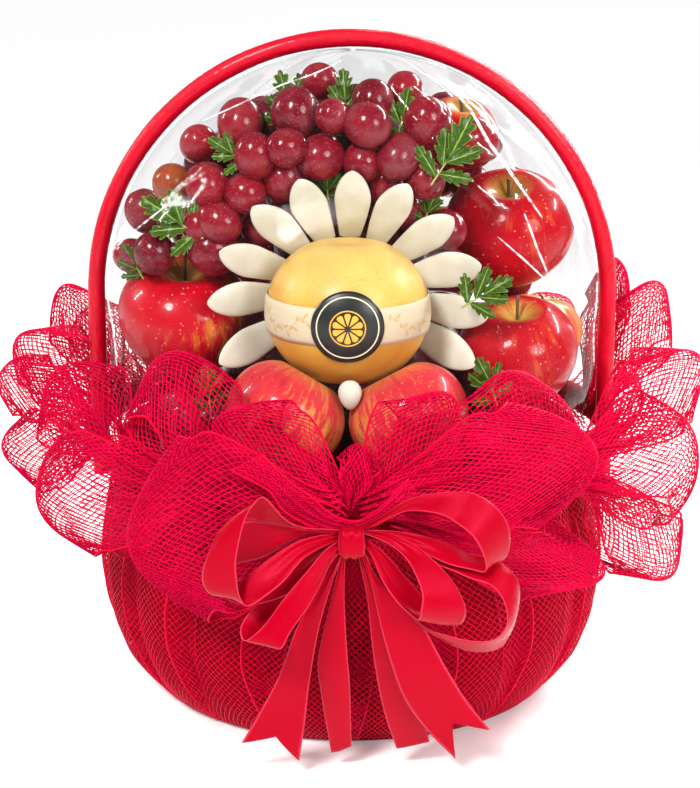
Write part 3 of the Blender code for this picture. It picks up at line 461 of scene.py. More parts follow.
# centre, radius, axis along the stalk, finish, whether the stalk shows
APPLES = {
    "apple_left": ((-0.1175, -0.028, 0.2730), 0.0470, (0.05, -0.28, 1.0), "blush", True),
    "apple_right_top": ((0.1110, 0.004, 0.3290), 0.0455, (-0.05, -0.42, 1.0), "ruby", False),
    "apple_right_low": ((0.1150, -0.052, 0.2530), 0.0420, (-0.06, -0.30, 1.0), "ruby", True),
    "apple_right_back": ((0.1350, 0.020, 0.2500), 0.0320, (0.20, 0.10, 1.0), "amber", False),
    "apple_top_back": ((0.0760, 0.046, 0.3900), 0.0290, (0.15, -0.30, 1.0), "blush", False),
    "apple_front_left": ((-0.0455, -0.1180, 0.2240), 0.0412, (0.62, 0.30, 1.0), "amber", False),
    "apple_front_right": ((0.0385, -0.1180, 0.2230), 0.0412, (-0.55, 0.30, 1.0), "amber", False),
    "apple_back_left": ((-0.0840, 0.090, 0.2400), 0.0430, (-0.10, 0.30, 1.0), "ruby", False),
    "apple_back_middle": ((0.0050, 0.1160, 0.2330), 0.0440, (0.05, 0.25, 1.0), "blush", False),
    "apple_back_right": ((0.0700, 0.0860, 0.2960), 0.0400, (0.10, 0.35, 1.0), "amber", False),
}
APPLE_HEIGHT = 0.90
APPLE_RINGS, APPLE_SIDES = 40, 56
STALK_UP, STALK_DOWN = 0.10, -0.06      # where a shown and a hidden stalk end, over the top, in radii
STALK_RINGS, STALK_SIDES = 8, 8


def upright(axis):
    """A turn whose Z is the axis and whose X leans up."""
    z = Vector(axis).normalized()
    x = Vector((0, 0, 1)) - z * z.z
    x = x.normalized() if x.length > 1e-6 else Vector((1, 0, 0))
    return Matrix((x, z.cross(x), z)).transposed().to_4x4()


def fruit_section(radius, tall, rings, top_dip, foot_dip, shoulder, dip_wide):
    """(radius, height) from the top hollow, over the shoulder, to the foot's hollow."""
    section = []
    for k in range(1, rings):
        turn = math.pi * k / rings
        r = radius * math.sin(turn) * (1 + shoulder * math.cos(turn))
        z = tall * math.cos(turn)
        if z > 0:
            z -= top_dip * math.exp(-((r / (dip_wide * radius)) ** 2))
        else:
            z += foot_dip * math.exp(-((r / (0.30 * radius)) ** 2))
        section.append((r, z))
    return section


def lobed(radius, seed):
    """Moves an apple's points into five faint lobes and one soft dent."""
    def shape(angle, x, y, z):
        lower = max(0.0, -z / radius)
        grow = 1 + 0.012 * math.cos(5 * angle + seed) * (0.4 + lower) + 0.014 * math.cos(2 * angle + 2 * seed)
        return (x * grow, y * grow, z * (1 + 0.012 * math.cos(angle + seed)))
    return shape


AXIS_GAP = 0.0003                           # sections close on this radius
for number, (name, (centre, radius, axis, finish, stalk)) in enumerate(APPLES.items()):
    section = fruit_section(radius, radius * APPLE_HEIGHT, APPLE_RINGS, 0.30 * radius, 0.14 * radius, 0.07, 0.30)
    section = [(AXIS_GAP, section[0][1] - 0.0006), *section, (AXIS_GAP, section[-1][1])]
    apple = turned(name + "_skin", section, APPLE_SIDES, APPLE_REDS[finish], lobed(radius, 1.7 * number))
    foot, top = radius * (APPLE_HEIGHT - 0.34), radius * (APPLE_HEIGHT + (STALK_UP if stalk else STALK_DOWN))
    points = []
    for k in range(STALK_RINGS + 1):
        t = k / STALK_RINGS
        lean, thick = 0.0045 * t * t, 0.0011 + 0.0018 * max(0, t - 0.75)
        for side in range(STALK_SIDES):
            turn = math.tau * side / STALK_SIDES
            points.append((lean + thick * math.cos(turn), thick * math.sin(turn), foot + (top - foot) * t))
    faces = grid_quads(STALK_RINGS + 1, STALK_SIDES, wrap=True)
    faces.append(tuple(range(STALK_RINGS * STALK_SIDES, len(points))))
    stem = new_mesh(name + "_stalk", points, faces, stalk_wood)
    apple.matrix_world = stem.matrix_world = Matrix.Translation(centre) @ upright(axis)
    fitted(apple, name)
    fitted(stem)


# ---- Fruit: pear -------------------------------------------------------------------------------------------
# A large round golden pear, which stands in front of the heap. Its skin is waxy, with russet dots.
PEAR_AT = Vector((-0.003, -0.088, 0.291))
PEAR_WIDE, PEAR_TALL = 0.0552, 0.0512

pear_skin, pear_shader, pear_tree = shader_of(
    "pear_skin", (0.68, 0.37, 0.055), 0.40, Coat_Weight=0.10, Coat_Roughness=0.25, Specular_IOR_Level=0.3
)
pear_place = node(pear_tree, "TexCoord").outputs
pear_cloud = node(pear_tree, "TexNoise", in_Vector=pear_place["Object"], in_Scale=22.0, in_Detail=4.0).outputs[0]
pear_dots = node(pear_tree, "TexVoronoi", in_Vector=pear_place["Object"], in_Scale=430.0).outputs["Distance"]
pear_height = node(pear_tree, "SeparateXYZ", in_0=pear_place["Generated"]).outputs[2]
pear_ground = ramp(
    pear_tree, pear_cloud, (0.32, (0.60, 0.28, 0.030)), (0.50, (0.70, 0.38, 0.050)), (0.68, (0.76, 0.47, 0.10))
)
# Painted highlight: the top of the pear is painted paler, as if lit from above.
pear_ground = mixed(pear_tree, ramp(pear_tree, pear_height, (0.55, 0), (1.0, 0.42)), pear_ground, (0.88, 0.68, 0.26))
pear_ground = mixed(pear_tree, ramp(pear_tree, pear_dots, (0.12, 0.65), (0.24, 0)), pear_ground, (0.46, 0.20, 0.035))
pear_tree.links.new(pear_ground, pear_shader.inputs["Base Color"])
bumped(pear_tree, pear_shader, pear_dots, 0.0003, 0.35)

pear_section = fruit_section(PEAR_WIDE, PEAR_TALL, 48, 0.006, 0.004, 0.0, 0.34)
pear_section = [(AXIS_GAP, pear_section[0][1]), *pear_section, (AXIS_GAP, pear_section[-1][1])]
pear = turned("pear_skin", pear_section, 72, pear_skin)
pear.matrix_world = Matrix.Translation(PEAR_AT)
fitted(pear, "pear")


# ---- Band and label ----------------------------------------------------------------------------------------
# A paper band printed with a pale gold leaf scroll goes round the pear, and a round black card with
# a cream ring and a gold rosette is glued on its front.
BAND_HALF, BAND_SIDES, BAND_ROWS = 0.0125, 120, 9
PAPER, PAPER_LIFT = 0.0005, 0.0006      # thickness, and how far it lies off the skin
SCROLL_LIFT = PAPER_LIFT + PAPER + 0.00012
SCROLL_TURNS, SCROLL_STEPS = 14, 8


def pear_point(angle, height, lift):
    """A point over the pear's skin: angle 0 is the front, positive to the right."""
    r = (PEAR_WIDE + lift) * math.sqrt(max(0.0, 1 - (height / (PEAR_TALL + lift)) ** 2))
    return PEAR_AT + Vector((r * math.sin(angle), -r * math.cos(angle), height))


cream_paper = grained(
    "cream_paper", (0.72, 0.60, 0.40), 0.6, 500.0, (0.35, (0.68, 0.56, 0.37)), (0.65, (0.76, 0.65, 0.45)),
    detail=4.0, bump=0.0002, Specular_IOR_Level=0.2,
)
gold_ink = grained(
    "gold_ink", (0.70, 0.45, 0.16), 0.45, 900.0, (0.3, (0.66, 0.42, 0.15)), (0.7, (0.76, 0.53, 0.22)), Metallic=0.2
)
points = []
for height in np.linspace(-BAND_HALF, BAND_HALF, BAND_ROWS):
    points += [pear_point(math.tau * k / BAND_SIDES, height, PAPER_LIFT) for k in range(BAND_SIDES)]
band = new_mesh("paper_band", points, grid_quads(BAND_ROWS, BAND_SIDES, wrap=True), cream_paper)


def thickened(piece, thickness, offset):
    """Gives a thin piece its thickness."""
    body = piece.modifiers.new("thickness", "SOLIDIFY")
    body.thickness, body.offset = thickness, offset


thickened(band, PAPER, 1)
fitted(band, "pear_band")


def flat_leaf(at, point_to, length, width, steps=4):
    """An almond outline in (around, height) coordinates on the band, as points."""
    along = Vector(point_to).normalized()
    side = Vector((-along.y, along.x))
    outline = [(k / steps, math.sin(math.pi * k / steps)) for k in range(steps + 1)]
    flat = [Vector(at) + along * length * t + side * width * s / 2 for t, s in outline]
    flat += [Vector(at) + along * length * t - side * width * s / 2 for t, s in outline[-2:0:-1]]
    return [pear_point(p.x / PEAR_WIDE, p.y, SCROLL_LIFT) for p in flat]


scroll = []
for turn in range(SCROLL_TURNS):
    start, way = turn * math.tau * PEAR_WIDE / SCROLL_TURNS, 1 if turn % 2 else -1
    previous = Vector((start, 0))
    for k in range(1, SCROLL_STEPS + 1):
        t = k / SCROLL_STEPS
        at = Vector((start + 0.0225 * t, way * 0.0052 * math.sin(math.tau * t * 0.9)))
        step, side = at - previous, 1 if k % 2 else -1
        scroll.append(flat_leaf(previous, step, step.length * 1.15, 0.00055, 2))
        scroll.append(flat_leaf(at, (step.x + 0.0002, step.y + side * step.length * 1.1), 0.0050, 0.0021))
        previous = at
points, faces = [], []
for outline in scroll:
    faces.append(tuple(range(len(points), len(points) + len(outline))))
    points += outline
fitted(new_mesh("band_scroll", points, faces, gold_ink, smooth=False))

label_card = grained(
    "label_card", (0.010, 0.011, 0.010), 0.32, 800.0, (0.3, (0.007, 0.008, 0.007)), (0.7, (0.016, 0.018, 0.016))
)
ring_ink = grained(
    "ring_ink", (0.88, 0.78, 0.55), 0.5, 900.0, (0.3, (0.84, 0.73, 0.48)), (0.7, (0.92, 0.84, 0.62))
)
rosette_ink = grained(
    "rosette_ink", (0.86, 0.44, 0.035), 0.4, 120.0, (0.35, (0.82, 0.36, 0.02)), (0.65, (0.90, 0.55, 0.07))
)
LABEL_RADIUS, CARD = 0.0240, 0.0003
LABEL_LIFT = PAPER_LIFT + PAPER + 0.0007
ROSETTE_PARTS, ROSETTE_LAYER = 10, 0.0005
# a wedge of the rosette from side to side: how far round, as a share of its half, and how far out
ROSETTE_EDGE = ((-1, 0.0086), (-0.8, 0.0096), (-0.4, 0.0101), (0, 0.0101), (0.4, 0.0101), (0.8, 0.0096), (1, 0.0086))


def on_label(r, angle, layer):
    """A point of the card, from its middle."""
    x, z, lift = r * math.cos(angle), r * math.sin(angle), LABEL_LIFT + layer
    depth = 1 - (x / (PEAR_WIDE + lift)) ** 2 - (z / (PEAR_TALL + lift)) ** 2
    return PEAR_AT + Vector((x, -(PEAR_WIDE + lift) * math.sqrt(max(0.05, depth)), z))


# name, inner and outer radius, how far it lies over the card, material, rings and sides
for name, inner, outer, layer, material, rings, sides in (
    ("label_card", 0.00001, LABEL_RADIUS, 0.0, label_card, 14, 96),
    ("label_ring", 0.0200, 0.0208, 0.0004, ring_ink, 1, 96),
    ("rosette_rim", 0.0112, 0.0121, 0.0004, rosette_ink, 1, 64),
):
    points = []
    for k in range(rings + 1):
        r = inner + (outer - inner) * k / rings
        points += [on_label(r, math.tau * s / sides, layer) for s in range(sides)]
    disc = new_mesh(name, points, grid_quads(rings + 1, sides, wrap=True), material)
    thickened(disc, CARD, 1)
    fitted(disc, "pear_label" if name == "label_card" else None)
points, faces = [], []
for k in range(ROSETTE_PARTS):
    middle = math.tau * (k + 0.5) / ROSETTE_PARTS
    first = len(points)
    points.append(on_label(0.0018, middle, ROSETTE_LAYER))
    points += [on_label(r, middle + s * 0.25, ROSETTE_LAYER) for s, r in ROSETTE_EDGE]
    faces.append(tuple(range(first, len(points))))
fitted(new_mesh("rosette", points, faces, rosette_ink, smooth=False))


# ---- Petals ------------------------------------------------------------------------------------------------
# Almond-shaped slices, cream white and waxy, stand behind the pear like the petals of a daisy, and
# the tip of one more shows between the two front apples.
PETAL_ANGLES = (-24, -3, 19, 42, 65, 88, 110, 132, 155, 177, 203)
PETAL_ROOT, PETAL_TIP = 0.0520, 0.0945
PETAL_WIDE, PETAL_THICK = 0.0242, 0.0056
PETAL_ROOT_BACK, PETAL_TIP_BACK = 0.0285, -0.0010
PETAL_HIDDEN = 0.0090                   # how far a petal goes on behind the pear
PETAL_RINGS, PETAL_SIDES = 26, 24

petal_wax, petal_shader, petal_tree = shader_of(
    "petal_wax", (0.80, 0.77, 0.66), 0.42, Subsurface_Weight=0.2, Subsurface_Scale=0.003,
    Subsurface_Radius=(1.0, 0.85, 0.55), Specular_IOR_Level=0.25,
)
petal_place = node(petal_tree, "TexCoord").outputs["Object"]
petal_cloud = node(petal_tree, "TexNoise", in_Vector=petal_place, in_Scale=60.0, in_Detail=3.0).outputs[0]
petal_white = ramp(
    petal_tree, petal_cloud, (0.3, (0.63, 0.60, 0.48)), (0.55, (0.71, 0.69, 0.575)), (0.75, (0.77, 0.755, 0.655))
)
petal_tree.links.new(petal_white, petal_shader.inputs["Base Color"])
bumped(petal_tree, petal_shader, petal_cloud, 0.0006, 0.3)


def squared(angle, across=0.7, up=0.7):
    """The cosine and sine of an angle, drawn out towards a square."""
    c, s = math.cos(angle), math.sin(angle)
    return math.copysign(abs(c) ** across, c), math.copysign(abs(s) ** up, s)


for number, degrees in enumerate(PETAL_ANGLES):
    turn = math.radians(degrees)
    outward = Vector((math.cos(turn), 0, math.sin(turn)))
    run = outward * (PETAL_TIP - PETAL_ROOT) + Vector((0, PETAL_TIP_BACK - PETAL_ROOT_BACK, 0))
    along = run.normalized()
    side = Vector((-math.sin(turn), 0, math.cos(turn)))
    face = along.cross(side)
    tip = PEAR_AT + outward * PETAL_TIP + Vector((0, PETAL_TIP_BACK, 0))
    long = run.length + PETAL_HIDDEN
    uneven = random.Random(number).uniform(-0.04, 0.06)
    bend = random.Random(number + 50).uniform(-0.0010, 0.0010)
    points = []
    for ring in range(PETAL_RINGS + 1):
        # t is 0 at the rounded tip and 1 at the root, which is out of sight behind the pear.
        t = 0.5 - 0.5 * math.cos(math.pi * ring / PETAL_RINGS)
        full = max(0.02, (1 - (1 - min(1.0, t / 0.46)) ** 2.0)) ** 0.62
        full *= 1 - 0.42 * max(0.0, (t - 0.42) / 0.58) ** 1.3
        width, thick = PETAL_WIDE / 2 * full * (1 + uneven), PETAL_THICK / 2 * min(1.0, full * 1.15)
        for k in range(PETAL_SIDES):
            a, b = squared(math.tau * k / PETAL_SIDES, 0.85)
            aside = side * (width * a + bend * math.sin(math.pi * t))
            points.append(tip - along * long * t + aside + face * thick * b)
    faces = grid_quads(PETAL_RINGS + 1, PETAL_SIDES, wrap=True)
    faces += [tuple(range(PETAL_SIDES)), tuple(range(PETAL_RINGS * PETAL_SIDES, len(points)))]
    petal = new_mesh(f"petal_slice_{number:02d}", points, faces, petal_wax)
    fitted(petal, f"petal_{number:02d}")

LOW_TIP_AT = Vector((-0.0015, -0.1360, 0.2455))
LOW_TIP_FLAT = 0.72                     # its depth as a share of its width
LOW_TIP = ((AXIS_GAP, 0.0088), (0.0030, 0.0084), (0.0052, 0.0070), (0.0070, 0.0045), (0.0078, 0.0015),
           (0.0075, -0.0020), (0.0062, -0.0055), (0.0040, -0.0088), (0.0016, -0.0107), (AXIS_GAP, -0.0110))
low_tip = turned("petal_slice_low", LOW_TIP, 24, petal_wax)
low_tip.data.transform(Matrix.Diagonal((1.0, LOW_TIP_FLAT, 1.0, 1.0)))
low_tip.matrix_world = Matrix.Translation(LOW_TIP_AT)
fitted(low_tip, "petal_tip_low")


# ---- Grapes ------------------------------------------------------------------------------------------------
# Dark red table grapes, heaped over and behind the apples. They are firm and a little longer than
# wide, with a pale bloom, fine flecks and the brown scar of the stalk.

# right of the middle, height, radius and how far under the film, in millimetres
GRAPES = (
    (-22, 437, 12, 14), (36, 432, 12, 14), (14, 427, 13.5, 12), (-38, 419, 16, 12), (-76, 411, 15, 10),
    (-13, 419, 11.5, 14), (10, 414, 14.5, 12), (50, 413, 15.5, 12), (-105, 395, 12.5, 12), (-44, 399, 12.5, 22),
    (-65, 393, 13.5, 20), (-21, 391, 15, 22), (7, 388, 13, 27), (31, 392, 14.5, 22), (-122, 368, 13.5, 14),
    (-98, 372, 14.5, 22), (-46, 376, 14.5, 30), (-72, 367, 13.5, 28), (49, 376, 13, 32), (22, 371, 12, 38),
    (-90, 348, 14, 30), (-104, 345, 12, 38), (-144, 346, 13.5, 8), (-135, 324, 13.5, 14), (-152, 318, 11.5, 4),
    (-94, 326, 16, 20), (-45, 350, 12, 46), (-62, 341, 13.5, 44), (0, 358, 13, 48), (36, 352, 13, 46),
    (64, 340, 13, 46), (-70, 318, 13, 48), (66, 312, 13, 44), (86, 398, 13, 22),
)
BROWN_GRAPE = 14                        # one grape is still brownish
# height, how many, how far under the film
BACK_ROWS = ((0.348, 5, 0.010), (0.378, 4, 0.008), (0.404, 3, 0.006))
DOME_CENTRE, DOME_WIDE, DOME_DEEP, DOME_TALL = 0.2818, 0.1738, 0.1690, 0.1742
DOME_TUCK = 0.055                       # how far the dome is drawn in at its foot


def smooth_step(t):
    """Goes from 0 to 1 with soft ends."""
    t = min(1.0, max(0.0, t))
    return t * t * (3 - 2 * t)


def dome_point(angle, height, inset=0.0):
    """A point of the film's dome; inset moves it inwards."""
    rise = min(1.0, max(height - DOME_CENTRE, 0) / (DOME_TALL - inset))
    share = math.sqrt(max(0.0, 1 - rise * rise)) * (1 - DOME_TUCK * smooth_step((0.235 - height) / 0.05))
    wide, deep = DOME_WIDE - inset, DOME_DEEP - inset
    return Vector((wide * share * math.cos(angle), deep * share * math.sin(angle), height))


def under_film(x, z, radius, under):
    """A grape's place in front, so far under the film."""
    rise = max(z - DOME_CENTRE, 0) / (DOME_TALL - radius)
    depth = math.sqrt(max(0.0, 1 - rise * rise - (x / (DOME_WIDE - radius)) ** 2))
    return Vector((x, under - (DOME_DEEP - radius) * depth, z))


def behind_petals(at, radius):
    """The same place, moved back until the grape is clear of the ring of petals."""
    reach = math.hypot(at.x - PEAR_AT.x, at.z - PEAR_AT.z)
    if reach > PETAL_TIP + 0.8 * radius or at.y > 0:
        return at
    share = min(1.0, max(0.0, (reach - 0.8 * radius - PETAL_ROOT) / (PETAL_TIP - PETAL_ROOT)))
    back = PEAR_AT.y + PETAL_ROOT_BACK + share * (PETAL_TIP_BACK - PETAL_ROOT_BACK)
    return Vector((at.x, max(at.y, back + 0.003 + radius), at.z))


def clear_of_fruit(at, radius):
    """Whether a grape here leaves the apples, the pear, the petals and the other grapes clear."""
    for centre, apple_radius, *_ in APPLES.values():
        centre = Vector(centre)
        apart = at - centre
        outward = Vector((centre.x, centre.y, 0)).normalized()
        if apart.length < 0.93 * apple_radius + 0.85 * radius:
            return False
        for shown in (outward, Vector((0, -1 if centre.y < 0.03 else 1, 0))):
            before = apart.dot(shown)
            if before > 0 and (apart - shown * before).length < apple_radius + 0.4 * radius:
                return False
    if (at - PEAR_AT).length < PEAR_WIDE + radius or (at - behind_petals(at, radius)).length > 0.001:
        return False
    return all((at - other).length > 0.78 * (radius + near) for other, near in grape_places)


grape_places = [
    (under_film(x / 1000, z / 1000, r / 1000, under / 1000), r / 1000 * 1.06) for x, z, r, under in GRAPES
]
shown_grapes = len(grape_places)
grape_draw = random.Random(7)
for height, count, inset in BACK_ROWS:
    for k in range(count):
        angle = math.radians(18 + 144 * (k + 0.5 + grape_draw.uniform(-0.15, 0.15)) / count)
        radius = grape_draw.uniform(0.0122, 0.0150)
        at = dome_point(angle, height + grape_draw.uniform(-0.004, 0.004), radius + inset)
        grape_places.append((at, radius))
grape_places = [(behind_petals(at, radius), radius) for at, radius in grape_places]
# Rings of grapes fill the heap behind them, wherever there is room.
FILL_RINGS, FILL_FROM, FILL_STEP, FILL_APART, FILL_TOP = 13, 0.206, 0.0185, 0.0235, 0.440
for ring in range(FILL_RINGS):
    height = FILL_FROM + FILL_STEP * ring
    inset = 0.046 if height < 0.36 else 0.034
    count = max(1, int(dome_point(0, height, inset).x * math.tau / FILL_APART))
    for k in range(count):
        angle = math.tau * (k + 0.5 * (ring % 2) + grape_draw.uniform(-0.2, 0.2)) / count
        radius = grape_draw.uniform(0.0122, 0.0148)
        height_here = height + grape_draw.uniform(-0.003, 0.003)
        at = dome_point(angle, height_here, inset + grape_draw.uniform(-0.006, 0.004))
        if at.z + radius < FILL_TOP and clear_of_fruit(at, radius):
            grape_places.append((at, radius))

grape_skin, grape_shader, grape_tree = shader_of(
    "grape_skin", (0.26, 0.012, 0.035), 0.3, Coat_Weight=0.38, Coat_Roughness=0.07, Specular_IOR_Level=0.15,
    Subsurface_Weight=0.12, Subsurface_Radius=(1.0, 0.15, 0.2), Subsurface_Scale=0.004,
)
tone = node(grape_tree, "Attribute", attribute_name="tone").outputs["Fac"]
place = node(grape_tree, "TexCoord").outputs["Object"]
mottle = node(grape_tree, "TexNoise", in_Vector=place, in_Scale=75.0, in_Detail=4.0, in_Roughness=0.6).outputs[0]
bloom = node(grape_tree, "TexNoise", in_Vector=place, in_Scale=42.0, in_Detail=5.0, in_Roughness=0.65).outputs[0]
fine_dots = node(grape_tree, "TexVoronoi", in_Vector=place, in_Scale=480.0).outputs["Distance"]
skin = ramp(grape_tree, tone, (0.0, (0.040, 0.001, 0.005)), (0.30, (0.10, 0.002, 0.010)), (0.62, (0.21, 0.004, 0.014)),
            (0.86, (0.33, 0.006, 0.014)), (0.97, (0.30, 0.080, 0.014)))
for source, first, second, colour in (
    (mottle, (0.40, 0), (0.70, 0.55), (0.34, 0.016, 0.030)),
    (bloom, (0.50, 0), (0.78, 0.30), (0.38, 0.15, 0.17)),
    (fine_dots, (0.10, 0.6), (0.19, 0), (0.66, 0.30, 0.26)),
):
    skin = mixed(grape_tree, ramp(grape_tree, source, first, second), skin, colour)
grape_tree.links.new(skin, grape_shader.inputs["Base Color"])
grape_tree.links.new(ramp(grape_tree, bloom, (0.45, 0.20), (0.7, 0.48)), grape_shader.inputs["Roughness"])
bumped(grape_tree, grape_shader, mottle, 0.0006, 0.3)


def grape_ball(radius, rings, sides):
    """A grape about its own axis, with a shallow scar at the top."""
    points = []
    for i in range(rings + 1):
        turn = math.pi * i / rings
        r = radius * max(0.02, math.sin(turn))
        z = radius * 1.06 * math.cos(turn) - 0.10 * radius * math.exp(-((r / (0.16 * radius)) ** 2)) * (turn < 1)
        points += [(r * math.cos(math.tau * k / sides), r * math.sin(math.tau * k / sides), z) for k in range(sides)]
    faces = grid_quads(rings + 1, sides, wrap=True)
    return np.array(points), [*faces, tuple(range(sides))[::-1], tuple(rings * sides + k for k in range(sides))]


SHOWN_BALL, HIDDEN_BALL = (18, 26), (12, 16)    # rings and sides
points, faces, tones, total = [], [], [], 0
for number, (at, radius) in enumerate(grape_places):
    seen = number < shown_grapes
    ball, quads = grape_ball(radius, *(SHOWN_BALL if seen else HIDDEN_BALL))
    turn = Matrix.Rotation(grape_draw.uniform(0, math.tau), 3, "Z")
    turn = turn @ Matrix.Rotation(grape_draw.uniform(0.2, 1.4), 3, "X")
    stretch = Matrix.Diagonal((1, 1, grape_draw.uniform(0.98, 1.12)))
    points.append(ball @ np.array(turn @ stretch).T + np.array(at))
    faces += [tuple(total + v for v in quad) for quad in quads]
    # Seen grapes get a random tone; the hidden ones deep in the heap get darker tones, as painted shade.
    shade = grape_draw.triangular(0.2, 0.9, 0.6) if seen else grape_draw.uniform(0.0, 0.5)
    tones += [0.97 if number == BROWN_GRAPE else shade] * len(ball)
    total += len(ball)
grape_heap = new_mesh("grape_heap", np.concatenate(points).tolist(), faces, grape_skin)
grape_heap.data.attributes.new("tone", "FLOAT", "POINT").data.foreach_set("value", tones)
fitted(grape_heap, "grapes")

# The heart of the heap, left at the darkest grape tone as painted shade between the grapes: height,
# half its width, and how far it reaches in front and behind, in millimetres.
HEART = ((189, 98, -44, 108), (215, 104, -46, 120), (248, 74, -44, 122), (275, 56, -40, 122), (300, 54, -40, 120),
         (335, 58, -44, 112), (365, 66, -58, 98), (392, 56, -52, 74), (412, 38, -36, 46))
HEART_SIDES, HEART_MIDDLE = 40, 20
points = []
for z, half, front, back in HEART:
    for k in range(HEART_SIDES):
        c, d = squared(math.tau * k / HEART_SIDES)
        reach = (HEART_MIDDLE - front) if d < 0 else (back - HEART_MIDDLE)
        points.append((c * half / 1000, (HEART_MIDDLE + d * reach) / 1000, z / 1000))
faces = grid_quads(len(HEART), HEART_SIDES, wrap=True)
faces += [tuple(range(HEART_SIDES))[::-1], tuple(range(len(points) - HEART_SIDES, len(points)))]
heart = new_mesh("grape_heap_heart", points, faces, grape_skin)
# Its tone stays at zero, the darkest grape colour: painted shade.
heart.data.attributes.new("tone", "FLOAT", "POINT")
fitted(heart)


# ---- Leaf sprigs -------------------------------------------------------------------------------------------
# Tips of an evergreen shrub, tucked between the fruit. Each has a short yellow-green stem and a fan
# of glossy leaves with lobed edges, a fold along the middle and pale veins.

# foot, way it points, length
SPRIGS = (
    ((-0.0400, -0.0400, 0.4100), (-0.26, 0.45, 0.85), 0.033),
    ((-0.0050, -0.0500, 0.4140), (0.03, 0.40, 0.90), 0.030),
    ((0.0310, -0.0600, 0.4060), (0.26, 0.25, 0.95), 0.028),
    ((0.0550, -0.0880, 0.3800), (0.57, 0.30, 0.80), 0.042),
    ((-0.0730, -0.0760, 0.3900), (-0.80, 0.30, 0.50), 0.025),
    ((-0.1040, -0.0760, 0.3400), (-0.87, 0.30, 0.50), 0.040),
    ((-0.1450, -0.0480, 0.3060), (-0.50, 0.15, 0.87), 0.023),
    ((-0.0165, -0.0620, 0.3620), (0.00, -0.10, 1.00), 0.024),
    ((0.0490, -0.0620, 0.3470), (0.34, 0.00, 0.94), 0.022),
    ((0.0760, -0.1040, 0.2980), (0.87, 0.10, 0.50), 0.033),
    ((-0.0950, -0.1120, 0.2300), (-0.09, 0.10, 1.00), 0.028),
    ((0.0960, -0.1160, 0.2350), (-0.30, 0.10, 0.90), 0.030),
    ((-0.0300, 0.0640, 0.3960), (-0.30, -0.30, 0.90), 0.034),
    ((-0.0500, 0.1420, 0.3000), (-0.50, -0.10, 0.80), 0.036),
)
# turn from the stem in degrees, share of the sprig's length, place of its root along the stem, width
# as a share of its length
SPRIG_LEAVES = ((-72, 0.62, 0.05, 0.46), (68, 0.60, 0.14, 0.46), (-36, 0.76, 0.34, 0.48), (36, 0.74, 0.48, 0.48),
                (-3, 0.86, 0.62, 0.54))
LEAF_STEPS, LEAF_LOBES = 32, 4
LEAF_EDGES = (-1.0, -0.66, -0.33, 0.0, 0.33, 0.66, 1.0)
LEAF_FOLD, LEAF_DROOP = 0.30, 0.14
STEM_STEPS, STEM_SIDES = 5, 6

leaf_green, leaf_shader, leaf_tree = shader_of(
    "leaf_green", (0.03, 0.09, 0.003), 0.34, Coat_Weight=0.12, Coat_Roughness=0.15, Specular_IOR_Level=0.15
)
# The map holds how far across a leaf a point is and how far along it.
leaf_map = node(leaf_tree, "SeparateXYZ", in_0=node(leaf_tree, "UVMap").outputs[0]).outputs
leaf_cloud = node(leaf_tree, "TexNoise", in_Scale=110.0, in_Detail=3.0).outputs[0]
green = ramp(
    leaf_tree, leaf_cloud, (0.30, (0.010, 0.040, 0.002)), (0.52, (0.030, 0.080, 0.003)), (0.72, (0.075, 0.145, 0.005))
)
# Side veins run out and forwards from the middle.
slant = node(leaf_tree, "Math", operation="MULTIPLY_ADD", in_0=leaf_map[0], in_1=-0.30, in_2=leaf_map[1])
beat = node(leaf_tree, "Math", operation="PINGPONG", in_0=slant.outputs[0], in_1=0.08)
veins = ramp(leaf_tree, beat.outputs[0], (0.004, 0.55), (0.018, 0))
middle_vein = ramp(leaf_tree, leaf_map[0], (0.03, 1), (0.10, 0))
pale_edge = ramp(leaf_tree, leaf_map[0], (0.84, 0), (1.0, 0.8))
green = mixed(leaf_tree, veins, green, (0.11, 0.19, 0.012))
green = mixed(leaf_tree, middle_vein, green, (0.28, 0.38, 0.05))
green = mixed(leaf_tree, pale_edge, green, (0.28, 0.36, 0.03))
leaf_tree.links.new(green, leaf_shader.inputs["Base Color"])
bumped(leaf_tree, leaf_shader, veins, 0.0004, 0.4)
sprig_stem = grained(
    "sprig_stem", (0.34, 0.42, 0.07), 0.5, 300.0, (0.3, (0.24, 0.32, 0.05)), (0.7, (0.46, 0.50, 0.12))
)


def leaf_points(foot, along, face, length, wide, seed):
    """A lobed leaf as points and (across, along) map pairs; face is the side that shows."""
    side = along.cross(face).normalized()
    face = side.cross(along).normalized()
    points, marks = [], []
    for i in range(LEAF_STEPS + 1):
        t = i / LEAF_STEPS
        body = max(0.0, math.sin(math.pi * min(1.0, t ** 0.85))) ** 0.75
        for e in LEAF_EDGES:
            phase = (t * LEAF_LOBES + (0.18 if e > 0 else 0.0) + 0.1 * seed) % 1.0
            lobe = max(0.0, math.sin(math.pi * phase ** 1.5)) ** 0.7
            reach = wide / 2 * (body * (0.50 + 0.56 * lobe) + 0.015)
            ahead = length * (t + 0.13 * e * e * lobe * body)
            ruffle = 0.12 * wide * body * math.sin(math.tau * LEAF_LOBES * t * 0.5 + seed) * e * e
            lift = -LEAF_FOLD * abs(e) * reach + ruffle - LEAF_DROOP * length * t * t
            points.append(foot + along * ahead + side * e * reach + face * lift)
            marks.append((abs(e), t))
    return points, marks


def mapped(piece, marks):
    """Gives a mesh a map from one pair for each of its points."""
    cut = piece.data.uv_layers.new(name="UVMap")
    for loop in piece.data.loops:
        cut.data[loop.index].uv = marks[loop.vertex_index]


